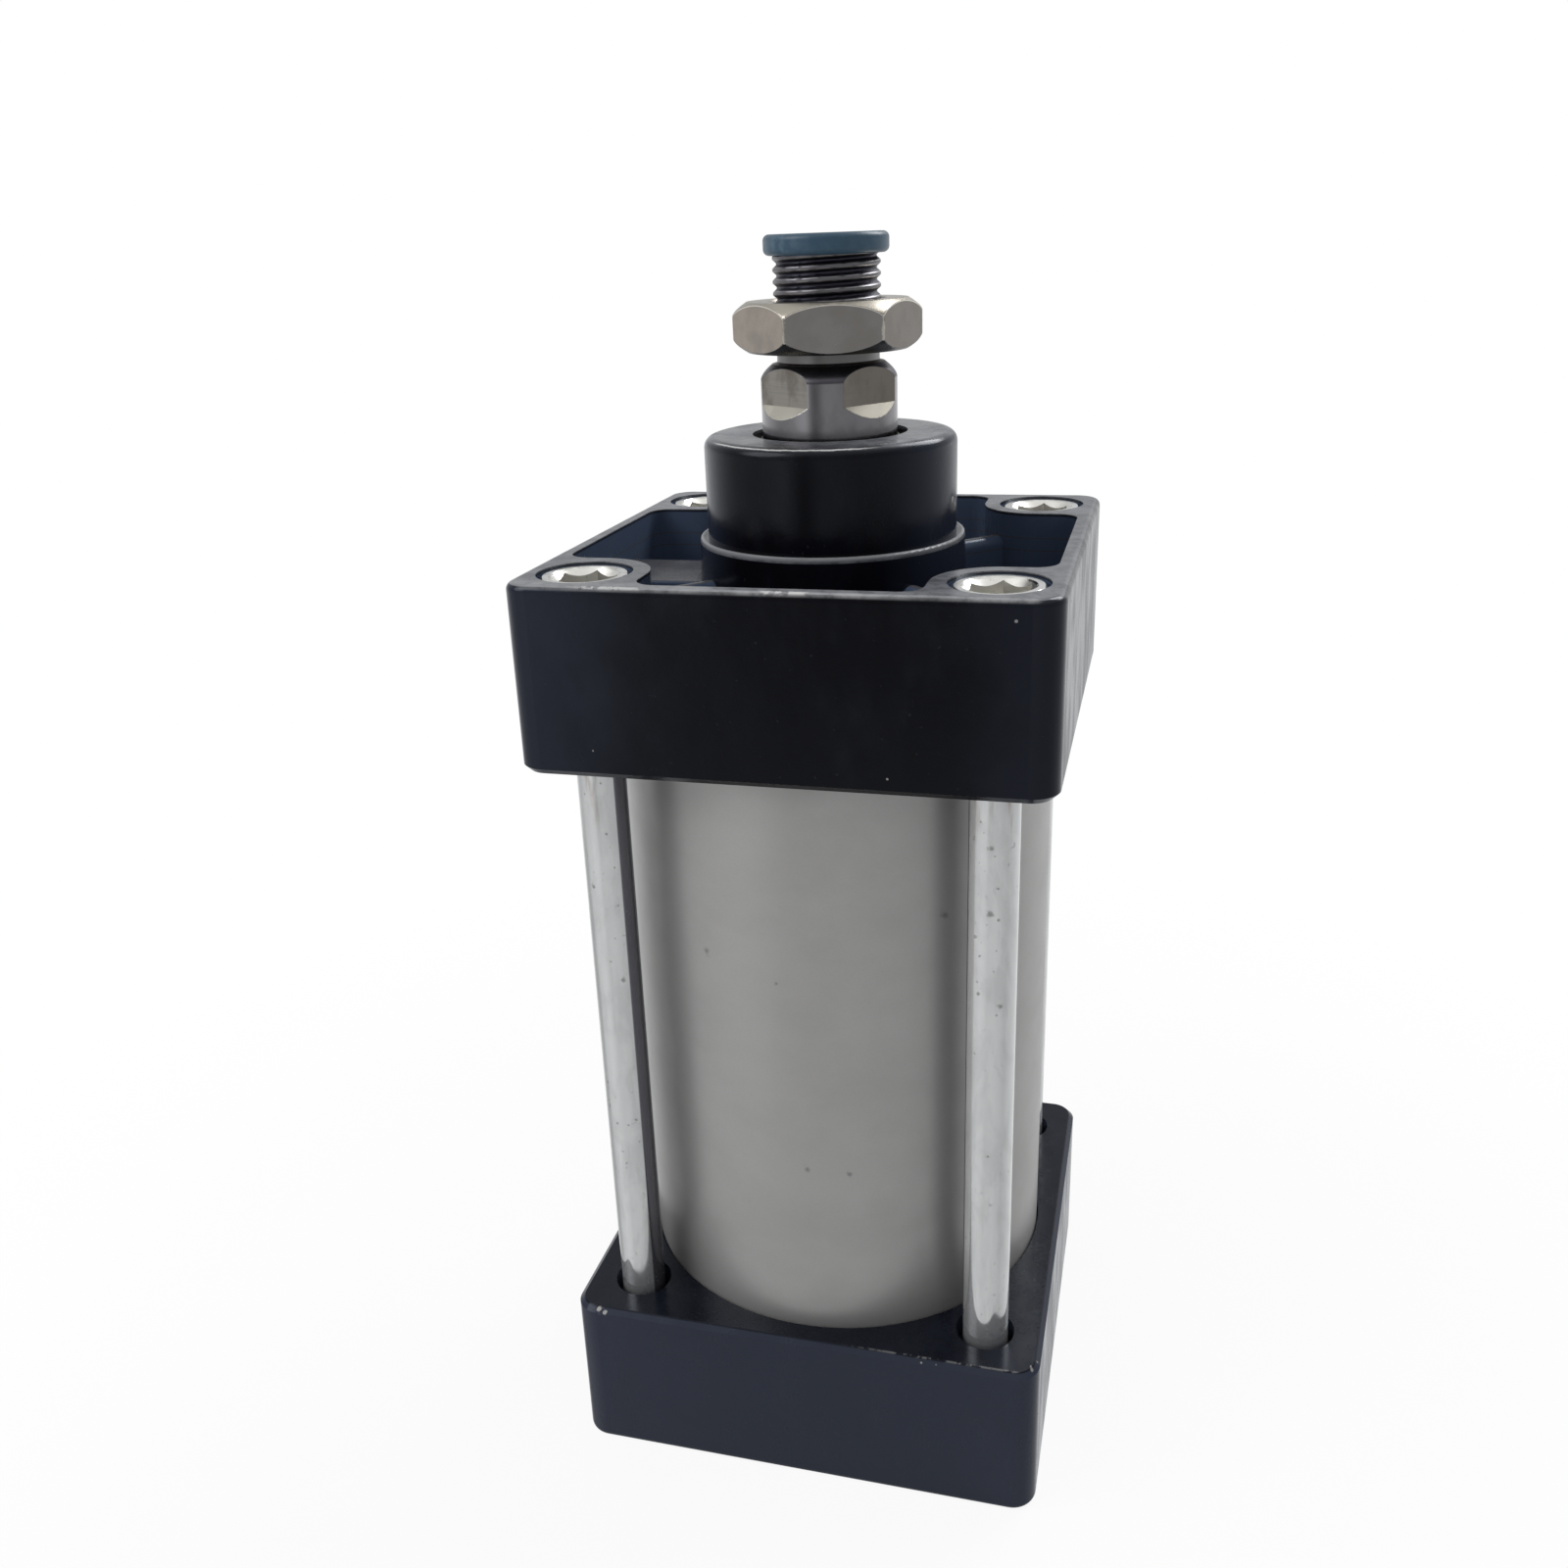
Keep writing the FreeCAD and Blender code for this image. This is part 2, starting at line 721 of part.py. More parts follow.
def piston_blank():
    """Whole piston before it is split into its two halves."""
    blank = ring(tail_radius + thread_gap, piston_radius, piston_rear, piston_front)
    for low, high in packing_levels():
        blank = blank.cut(ring(bore_radius - seal_gap - packing_depth - groove_gap, bore_radius, low, high))
    blank = blank.cut(ring(bore_radius - seal_gap - wear_ring_thickness - groove_gap, bore_radius,
                           piston_middle - wear_ring_groove / 2, piston_middle + wear_ring_groove / 2))
    magnet_half = magnet_width / 2 + groove_gap
    blank = blank.cut(ring(magnet_inner - groove_gap, magnet_outer + groove_gap,
                           piston_middle - magnet_half, piston_middle + magnet_half))
    ring_half = piston_ring_section / 2 + groove_gap
    level = piston_ring_level()
    return blank.cut(ring(tail_radius, tail_radius + thread_gap + piston_ring_section,
                          level - ring_half, level + ring_half))


def rear_piston_half():
    return piston_blank().common(cylinder(bore, piston_rear - overrun, piston_middle))


def front_piston_half():
    return piston_blank().common(cylinder(bore, piston_middle, piston_front + overrun))


def piston_packing(low, high, lip_at_high):
    """Lip packing of the piston, its lips towards the nearer end of the barrel."""
    low, high = low + groove_gap, high - groove_gap
    outside = bore_radius - seal_gap
    inside = outside - packing_depth
    back = outside - packing_relief
    if not lip_at_high:
        low, high = high, low
    step = math.copysign(1, high - low)
    bevel = high - packing_bevel * step
    return turned([(inside, low), (back, low), (back, high - packing_lip_length * step), (outside, bevel),
                   (outside - packing_lip, high), ((inside + outside) / 2, high - packing_notch * step),
                   (inside + packing_lip, high), (inside, bevel)])


def rear_piston_packing():
    return piston_packing(*packing_levels()[0], lip_at_high=False)


def front_piston_packing():
    return piston_packing(*packing_levels()[1], lip_at_high=True)


def piston_wear_ring():
    outside = bore_radius - seal_gap
    half = wear_ring_width / 2
    return ring(outside - wear_ring_thickness, outside, piston_middle - half, piston_middle + half)


def magnet_ring():
    half = magnet_width / 2
    return ring(magnet_inner, magnet_outer, piston_middle - half, piston_middle + half)


def piston_o_ring():
    return torus(tail_radius + thread_gap + piston_ring_section / 2, piston_ring_section - seal_gap,
                 piston_ring_level())


pieces = {
    "rear_cover": rear_cover,
    "front_cover": front_cover,
    "cylinder_tube": cylinder_tube,
    "tie_rods": lambda: four_times(tie_rod),
    "rear_tie_rod_nuts": rear_tie_rod_nuts,
    "front_tie_rod_nuts": front_tie_rod_nuts,
    "rear_tube_gasket": lambda: turn_to_rear(tube_gasket()),
    "front_tube_gasket": lambda: moved_to_front(tube_gasket()),
    "rear_cushion_seal": lambda: turn_to_rear(cushion_seal()),
    "front_cushion_seal": lambda: moved_to_front(cushion_seal()),
    "rod_bush": rod_bush,
    "rod_packing": rod_packing,
    "rod_wiper": rod_wiper,
    "rear_cushion_screw": lambda: turn_to_rear(needle()),
    "front_cushion_screw": lambda: moved_to_front(needle()),
    "rear_screw_o_ring": lambda: turn_to_rear(needle_o_ring()),
    "front_screw_o_ring": lambda: moved_to_front(needle_o_ring()),
    "piston_rod": piston_rod,
    "rear_piston_half": rear_piston_half,
    "front_piston_half": front_piston_half,
    "rear_piston_packing": rear_piston_packing,
    "front_piston_packing": front_piston_packing,
    "piston_wear_ring": piston_wear_ring,
    "magnet_ring": magnet_ring,
    "piston_o_ring": piston_o_ring,
    "rear_cushion_sleeve": rear_cushion_sleeve,
    "front_cushion_sleeve": front_cushion_sleeve,
    "piston_nut": piston_nut,
    "rod_lock_nut": lock_nut,
    "thread_cap": thread_cap,
}

os.makedirs("parts", exist_ok=True)
for name, make in pieces.items():
    shape = make()
    print(name, len(shape.Solids), "solids, valid", shape.isValid(), "volume", round(shape.Volume, 1))
    shape.exportStep("parts/" + name + ".step")
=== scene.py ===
import math

import bmesh
import bpy
from mathutils import Matrix, Vector


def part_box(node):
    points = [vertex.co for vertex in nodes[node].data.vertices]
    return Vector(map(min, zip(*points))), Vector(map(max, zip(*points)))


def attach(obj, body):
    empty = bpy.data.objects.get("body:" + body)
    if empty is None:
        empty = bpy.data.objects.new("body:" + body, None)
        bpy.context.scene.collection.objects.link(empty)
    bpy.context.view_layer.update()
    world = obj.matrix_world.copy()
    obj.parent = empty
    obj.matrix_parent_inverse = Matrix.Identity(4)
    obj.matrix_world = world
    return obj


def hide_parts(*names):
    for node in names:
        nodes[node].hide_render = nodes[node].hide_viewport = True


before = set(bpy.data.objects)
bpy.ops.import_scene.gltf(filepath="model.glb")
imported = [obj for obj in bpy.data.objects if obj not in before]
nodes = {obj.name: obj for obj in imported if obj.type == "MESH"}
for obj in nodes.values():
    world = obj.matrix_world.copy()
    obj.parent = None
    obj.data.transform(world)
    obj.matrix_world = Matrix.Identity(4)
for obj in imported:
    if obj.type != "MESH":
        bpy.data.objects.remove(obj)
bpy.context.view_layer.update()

print("frame loaded:", len(nodes), "nodes")

# Places on the cylinder in metres
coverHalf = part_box("front_cover")[1][0]
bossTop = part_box("front_cover")[1][2]
rearTop = 0.034
frontPlane = 0.185
hubRadius = 0.025
tieCentre = 0.036
tieRadius = 0.0045
rodRadius = 0.0125


# Small helpers for material trees on Object coordinates: places are in metres, grain sizes and
# bump depths in millimetres

def plug(tree, socket, value):
    if isinstance(value, bpy.types.NodeSocket):
        tree.links.new(value, socket)
    else:
        socket.default_value = value


def newMaterial(name, **shaderValues):
    material = bpy.data.materials.new(name)
    material.use_nodes = True
    tree = material.node_tree
    shader = tree.nodes["Principled BSDF"]
    for socket, value in shaderValues.items():
        shader.inputs[socket.replace("_", " ")].default_value = value
    place = tree.nodes.new("ShaderNodeTexCoord").outputs["Object"]
    return material, tree, shader, place


def grain(tree, place, size, detail=3.0, stretch=(1, 1, 1), rough=0.55, twist=0.0):
    if stretch != (1, 1, 1):
        mapping = tree.nodes.new("ShaderNodeMapping")
        mapping.inputs["Scale"].default_value = stretch
        tree.links.new(place, mapping.inputs["Vector"])
        place = mapping.outputs["Vector"]
    node = tree.nodes.new("ShaderNodeTexNoise")
    tree.links.new(place, node.inputs["Vector"])
    node.inputs["Scale"].default_value = 1000 / size
    node.inputs["Detail"].default_value = detail
    node.inputs["Roughness"].default_value = rough
    node.inputs["Distortion"].default_value = twist
    return node.outputs[0]


def levels(tree, value, low, high, toLow=0.0, toHigh=1.0, smooth=True):
    node = tree.nodes.new("ShaderNodeMapRange")
    node.interpolation_type = "SMOOTHSTEP" if smooth else "LINEAR"
    for index, number in enumerate((value, low, high, toLow, toHigh)):
        plug(tree, node.inputs[index], number)
    return node.outputs[0]


def calc(tree, operation, first, second=0.0):
    node = tree.nodes.new("ShaderNodeMath")
    node.operation = operation
    plug(tree, node.inputs[0], first)
    plug(tree, node.inputs[1], second)
    return node.outputs[0]


def mixColours(tree, share, first, second):
    node = tree.nodes.new("ShaderNodeMix")
    node.data_type = "RGBA"
    plug(tree, node.inputs[0], share)
    plug(tree, node.inputs[6], first)
    plug(tree, node.inputs[7], second)
    return node.outputs[2]


def split(tree, place):
    node = tree.nodes.new("ShaderNodeSeparateXYZ")
    tree.links.new(place, node.inputs[0])
    return node.outputs[0], node.outputs[1], node.outputs[2]


def fromAxis(tree, x, y):
    squares = calc(tree, "ADD", calc(tree, "MULTIPLY", x, x), calc(tree, "MULTIPLY", y, y))
    return calc(tree, "SQRT", squares)


def aroundTieRods(tree, x, y):
    # x and y counted from the nearest tie rod's centre, away from the cylinder's axis
    across = calc(tree, "SUBTRACT", calc(tree, "ABSOLUTE", x), tieCentre)
    along = calc(tree, "SUBTRACT", calc(tree, "ABSOLUTE", y), tieCentre)
    return across, along


def near(tree, value, centre, reach):
    # 1 where a value lies within reach of centre, falling to 0 at twice the reach
    away = calc(tree, "ABSOLUTE", calc(tree, "SUBTRACT", value, centre))
    return levels(tree, away, reach, reach * 2, 1.0, 0.0)


def product(tree, *values):
    total = values[0]
    for value in values[1:]:
        total = calc(tree, "MULTIPLY", total, value)
    return total


def strongest(tree, values):
    total = values[0]
    for value in values[1:]:
        total = calc(tree, "MAXIMUM", total, value)
    return total


def spots(tree, place, marks, ragged=0.5, soft=0.5):
    # the strongest of soft round patches with a ragged rim; marks are (x, y, z, radius) in millimetres
    shake = levels(tree, grain(tree, place, 1.6, 2.0), 0.3, 0.7, 1 - ragged, 1 + ragged, smooth=False)
    patches = []
    for x, y, z, radius in marks:
        node = tree.nodes.new("ShaderNodeVectorMath")
        node.operation = "DISTANCE"
        tree.links.new(place, node.inputs[0])
        node.inputs[1].default_value = (x / 1000, y / 1000, z / 1000)
        away = calc(tree, "MULTIPLY", node.outputs["Value"], shake)
        patches.append(levels(tree, away, radius * soft / 1000, radius / 1000, 1.0, 0.0))
    return strongest(tree, patches)


def bump(tree, shader, height, depth, strength=1.0, under=None):
    node = tree.nodes.new("ShaderNodeBump")
    node.inputs["Strength"].default_value = strength
    node.inputs["Distance"].default_value = depth / 1000
    tree.links.new(height, node.inputs["Height"])
    if under is not None:
        tree.links.new(under, node.inputs["Normal"])
    tree.links.new(node.outputs[0], shader.inputs["Normal"])
    return node.outputs[0]


def grey(level, tint=(1, 1, 1)):
    return (level * tint[0], level * tint[1], level * tint[2], 1)


def finish(material, *names):
    for name in names:
        for materialSlot in nodes[name].material_slots:
            materialSlot.material = material


# Die-cast covers: glossy blue black paint, thin on the sharp edges, with painted sheen, reflections,
# highlights and shade on some faces and edges

coverFinish = {
    "pocketLightColour": (0.066, 0.091, 0.146, 1),
    "bareMetal": (0.36, 0.355, 0.345, 1),
    "nickWhite": (0.78, 0.78, 0.77, 1),
    "edgeWearAndHighlightGrey": (0.56, 0.56, 0.57, 1),
    "rimWearAndSheenColour": (0.25, 0.255, 0.27, 1),
    "shelfReflectionGrey": (0.075, 0.075, 0.085, 1),
    "smokeColour": (0.022, 0.027, 0.037, 1),
    "lipGrey": grey(0.30, (0.97, 0.99, 1.03)),
    "rubbedAndHighlightGrey": grey(0.60),
    "speckGrey": grey(0.035, (0.9, 1, 1.1)),
    "gloss": 0.23,            # specular level of the paint
    "glossTint": (0.82, 0.89, 1.0, 1),
    "roughness": 0.22,
    "orangePeel": 0.012,      # mm
    "castWave": 0.12,         # mm
    # m, from the cover's face down to the tops of the ribs and of the port boss
    "shelves": (0.005, 0.0075),
    # metres between which the painted sheen fades: at the left and right ends, away from the front face, and
    # across the boss
    "leftSheen": (-0.044, -0.012),
    "rightSheen": (0.030, 0.048),
    "frontSheenFade": (-0.047, -0.030),
    "bossSheen": (0.012, 0.0225),
    # the paler front rim, partly rubbed paint and partly painted reflection, by y and by x, and the painted
    # shade on the front of the boss's face
    "rimWearAndSheenDepth": (-0.0455, -0.041),
    "rimWearAndSheenWidth": (0.016, 0.036),
    "bossShade": (-0.021, -0.014),
}
frontPaint = {
    "name": "paintFrontCover",
    "top": frontPlane,
    "side": (0.0030, 0.0027, 0.0042, 1),
    # the lighter blue of the painted sheen at the ends of the sides
    "sideSheen": (0.016, 0.019, 0.032, 1),
    # a light grey for the upward faces, a painted reflection of the sky
    "topColour": (0.150, 0.157, 0.175, 1),
    "mottle": 0.5,            # how patchy the upper faces are
    "edgeLine": 0.9,          # mm, the width of the rubbed line
    # m, centre and reach along x of the nicks in the front edge, and how white they are
    "nicks": [(-0.0272, 0.0035), (0.0026, 0.0026)],
    "bared": 0.85,
    # mm, place and radius: on the front face, on the boss, and a row along one rib
    "chips": [(40.0, -47.5, 181.6, 0.36), (-32.3, -47.5, 156.2, 0.2), (19.5, -47.5, 154.2, 0.22),
              (23.3, -2.8, 192.6, 0.55),
              (17.9, 20.5, 180.0, 0.3), (19.3, 21.2, 180.0, 0.32), (20.7, 22.0, 180.0, 0.36),
              (22.2, 22.8, 180.0, 0.36), (23.7, 24.2, 180.0, 0.32), (25.2, 25.8, 180.0, 0.3)],
}
rearPaint = {
    "name": "paintRearCover",
    "top": rearTop,
    # the sides: a lighter blue with a lighter sheen at the ends, a painted reflection of the pale floor; the
    # upward face keeps the dark paint
    "side": (0.027, 0.032, 0.050, 1),
    "sideSheen": (0.033, 0.038, 0.060, 1),
    "topColour": (0.0062, 0.0075, 0.0135, 1),
    "mottle": 0.1,
    "edgeLine": 0.55,
    "nicks": [(0.034, 0.013)],
    "bared": 0.22,
    "chips": [(-41.9, -46.9, 33.6, 0.75), (-40.6, -47.3, 33.2, 0.6), (25.1, -47.2, 33.4, 0.32),
              (28.0, -47.2, 33.5, 0.32), (46.0, -44.6, 33.5, 0.5), (46.5, -43.4, 33.2, 0.4),
              (46.7, -42.3, 33.3, 0.3)],
}


def coverPaint(paint, boss):
    material, tree, shader, place = newMaterial(
        paint["name"], Specular_IOR_Level=coverFinish["gloss"], Specular_Tint=coverFinish["glossTint"])
    top = paint["top"]
    x, y, z = split(tree, place)
    radius = fromAxis(tree, x, y)
    ragged = grain(tree, place, 2.2, 4.0, rough=0.7)
    soft = levels(tree, grain(tree, place, 14.0, 3.0), 0.35, 0.65)
    outline = strongest(tree, (calc(tree, "ABSOLUTE", x), calc(tree, "ABSOLUTE", y)))
    inset = calc(tree, "SUBTRACT", coverHalf, outline)
    fromTop = calc(tree, "ABSOLUTE", calc(tree, "SUBTRACT", z, top))
    fromEdge = calc(tree, "ADD", calc(tree, "MULTIPLY", inset, 0.6), fromTop)
    # painted sheen: the sides are painted a lighter blue towards the left and right ends, weaker away from
    # the front face, and on the boss towards its left and right
    drift = calc(tree, "ADD", x, calc(tree, "MULTIPLY", soft, 0.006))
    leftSheen = levels(tree, drift, *coverFinish["leftSheen"], 1.0, 0.0)
    rightSheen = levels(tree, drift, *coverFinish["rightSheen"], 0.0, 0.45)
    paintedSheen = strongest(tree, (leftSheen, rightSheen))
    paintedSheen = calc(tree, "MULTIPLY", paintedSheen, levels(tree, y, *coverFinish["frontSheenFade"], 1.0, 0.4))
    if boss:
        onBoss = levels(tree, radius, hubRadius + 0.0006, hubRadius + 0.0012, 1.0, 0.0)
        bossSheen = levels(tree, calc(tree, "ABSOLUTE", x), *coverFinish["bossSheen"])
        elsewhere = product(tree, paintedSheen, levels(tree, onBoss, 0, 1, 1, 0))
        paintedSheen = calc(tree, "ADD", calc(tree, "MULTIPLY", onBoss, bossSheen), elsewhere)
    tone = mixColours(tree, paintedSheen, paint["side"], paint["sideSheen"])
    smoky = levels(tree, grain(tree, place, 16, 5.0, (1, 1, 0.55)), 0.5, 0.8, 0.0, 0.3)
    tone = mixColours(tree, smoky, tone, coverFinish["smokeColour"])
    down = calc(tree, "SUBTRACT", top, z)
    if boss:
        # the pocket, painted a lighter navy than the faces as painted reflected light, and the tops of its
        # ribs and port boss painted grey as a painted reflection of the sky
        inPocket = product(tree, levels(tree, inset, 0.0027, 0.0030), levels(tree, down, 0.0003, 0.0008),
                           levels(tree, down, 0.0195, 0.0200, 1, 0),
                           levels(tree, radius, hubRadius + 0.0010, hubRadius + 0.0016))
        tone = mixColours(tree, inPocket, tone, coverFinish["pocketLightColour"])
        shelf = strongest(tree, [near(tree, down, depth, 0.00008) for depth in coverFinish["shelves"]])
        tone = mixColours(tree, calc(tree, "MULTIPLY", shelf, inPocket), tone, coverFinish["shelfReflectionGrey"])
    # the faces that look up take the top tone, patchy: on the front cover a light grey as a painted
    # reflection of the sky, on the rear cover the dark paint
    onTop = levels(tree, fromTop, 0.00015, 0.0003, 1.0, 0.0)
    patchy = grain(tree, place, 3.5, 5.0, rough=0.65)
    patchy = levels(tree, patchy, 0.36, 0.62, 1.0 - paint["mottle"], 1.0)
    onTop = calc(tree, "MULTIPLY", onTop, patchy)
    if boss:
        rimWearAndSheen = product(tree, onTop, levels(tree, y, *coverFinish["rimWearAndSheenDepth"], 1, 0),
                       levels(tree, x, *coverFinish["rimWearAndSheenWidth"], 1, 0.15))
        # the boss's face: patchy grey as a painted reflection, painted darker towards its front as painted
        # shade
        bossFace = product(tree, levels(tree, z, bossTop - 0.0008, bossTop - 0.0003), patchy,
                           levels(tree, y, *coverFinish["bossShade"], 0.45, 1.0))
        onTop = strongest(tree, (onTop, bossFace))
    tone = mixColours(tree, onTop, tone, paint["topColour"])
    if boss:
        tone = mixColours(tree, rimWearAndSheen, tone, coverFinish["rimWearAndSheenColour"])
    # a thin grey line along the outer edge, partly rubbed paint and partly a painted highlight, stronger
    # towards the front, and white nicks in its front part
    line = levels(tree, fromEdge, paint["edgeLine"] * 0.0004, paint["edgeLine"] * 0.001, 1.0, 0.0)
    frontward = levels(tree, y, -coverHalf + 0.002, -coverHalf + 0.006, 1.0, 0.45)
    line = product(tree, line, levels(tree, ragged, 0.25, 0.6, 0.4, 1.0),
                   levels(tree, soft, 0, 1, 0.55, 1.0), frontward)
    tone = mixColours(tree, line, tone, coverFinish["edgeWearAndHighlightGrey"])
    fromFront = calc(tree, "ADD", y, coverHalf)
    corner = calc(tree, "ADD", calc(tree, "MULTIPLY", fromFront, 0.55), calc(tree, "MULTIPLY", fromTop, 1.4))
    stretch = strongest(tree, [near(tree, x, centre, reach) for centre, reach in paint["nicks"]])
    nicks = product(tree, levels(tree, corner, 0.00055, 0.00085, 1, 0),
                    levels(tree, ragged, 0.46, 0.51), stretch)
    tone = mixColours(tree, calc(tree, "MULTIPLY", nicks, paint["bared"]), tone, coverFinish["nickWhite"])
    worn = spots(tree, place, paint["chips"], 0.5, 0.6)
    if boss:
        # the lip round the hub, and a bright line along the front of the boss's rim, partly rubbed paint and
        # partly a painted highlight
        lip = product(tree, near(tree, radius, hubRadius - 0.0001, 0.0003),
                      near(tree, z, top + 0.0006, 0.0003))
        tone = mixColours(tree, calc(tree, "MULTIPLY", lip, 0.85), tone, coverFinish["lipGrey"])
        shift = calc(tree, "MULTIPLY", calc(tree, "SUBTRACT", ragged, 0.5), 0.0003)
        rubbedAndHighlight = product(tree, near(tree, calc(tree, "ADD", z, shift), bossTop - 0.00035, 0.00006),
                         levels(tree, radius, 0.0218, 0.0220), levels(tree, y, -0.016, -0.012, 1, 0),
                         levels(tree, x, 0.008, 0.014, 1, 0))
        tone = mixColours(tree, rubbedAndHighlight, tone, coverFinish["rubbedAndHighlightGrey"])
    speck = levels(tree, grain(tree, place, 1.1, 2.0), 0.70, 0.78)
    tone = mixColours(tree, calc(tree, "MULTIPLY", speck, 0.3), tone, coverFinish["speckGrey"])
    plug(tree, shader.inputs["Base Color"], mixColours(tree, worn, tone, coverFinish["bareMetal"]))
    plug(tree, shader.inputs["Metallic"], calc(tree, "MULTIPLY", worn, 0.5))
    haze = levels(tree, grain(tree, place, 7, 4.0, (1, 1, 0.4)), 0.35, 0.7,
                  coverFinish["roughness"] - 0.05, coverFinish["roughness"] + 0.08)
    plug(tree, shader.inputs["Roughness"], calc(tree, "ADD", haze, calc(tree, "MULTIPLY", speck, 0.2)))
    cast = bump(tree, shader, grain(tree, place, 5.5, 2.0), coverFinish["castWave"], 0.3)
    bump(tree, shader, grain(tree, place, 0.9, 3.0), coverFinish["orangePeel"], 0.8, cast)
    return material


finish(coverPaint(frontPaint, True), "front_cover")
finish(coverPaint(rearPaint, False), "rear_cover")
print("covers painted")


# Satin anodised barrel: an even, fine grain with a few faint marks

tubeFinish = {
    "colour": (0.50, 0.495, 0.485, 1),
    "cloudColour": (0.465, 0.46, 0.45, 1),
    "markColour": (0.10, 0.10, 0.10, 1),
    "metallic": 0.6,
    "roughness": 0.36,
    "grainDepth": 0.003,      # mm
    # faint marks: place and radius in mm
    "marks": [(-16.7, -39.1, 114.6, 0.9), (-2.4, -42.4, 111.0, 0.6), (27.0, -32.8, 123.0, 1.1),
              (2.3, -42.4, 71.2, 0.8), (10.3, -41.2, 70.5, 0.6), (-28, 32, 96, 0.9), (8, 41.7, 127, 0.7)],
}


def tubeMetal():
    material, tree, shader, place = newMaterial("satinTube", Metallic=tubeFinish["metallic"])
    fine = grain(tree, place, 0.5, 4.0, (1, 1, 1.6), 0.6)
    cloud = grain(tree, place, 18, 5.0, (1, 1, 1.3), 0.6)
    rings = grain(tree, place, 6.0, 2.0, (0.05, 0.05, 1))
    marks = spots(tree, place, tubeFinish["marks"], 0.5, 0.1)
    tone = mixColours(tree, levels(tree, cloud, 0.35, 0.7), tubeFinish["colour"], tubeFinish["cloudColour"])
    tone = mixColours(tree, levels(tree, rings, 0.4, 0.7, 0.0, 0.25), tone, tubeFinish["cloudColour"])
    tone = mixColours(tree, levels(tree, fine, 0.3, 0.75, 0.0, 0.16), tone, grey(0.36))
    tone = mixColours(tree, calc(tree, "MULTIPLY", marks, 0.5), tone, tubeFinish["markColour"])
    plug(tree, shader.inputs["Base Color"], tone)
    rough = tubeFinish["roughness"]
    plug(tree, shader.inputs["Roughness"], levels(tree, cloud, 0.3, 0.7, rough, rough + 0.05))
    bump(tree, shader, fine, tubeFinish["grainDepth"], 0.5)
    return material


finish(tubeMetal(), "cylinder_tube")
print("tube finished")


# Plated tie rods: bright and smudged, with small pits; the half that faces the barrel is painted dark slate
# as painted shade and reflection

tieRodFinish = {
    "colour": (0.93, 0.94, 0.94, 1),
    "smudgeColour": (0.72, 0.73, 0.73, 1),
    "innerShadeColour": (0.20, 0.20, 0.225, 1),
    "pitColour": (0.16, 0.15, 0.14, 1),
    "stainAndReflectionColour": (0.50, 0.40, 0.32, 1),
    "metallic": 0.8,
    "roughness": 0.09,
    # small pits on the two front rods: degrees round the rod from the front, and height in mm
    "rightPits": [(-44, 140.9), (-25, 144.6), (1, 140.0), (8, 138.6), (17, 132.5), (1, 127.6), (-7, 125.5),
                  (19, 126.5), (-36, 122.6), (-28, 113.9), (-25, 111.6), (28, 109.4), (19, 107.7), (5, 77.9)],
    "leftPits": [(19, 147.3), (23, 137.3), (-22, 126.4), (-13, 80.8), (-14, 74.8), (33, 107.0)],
}


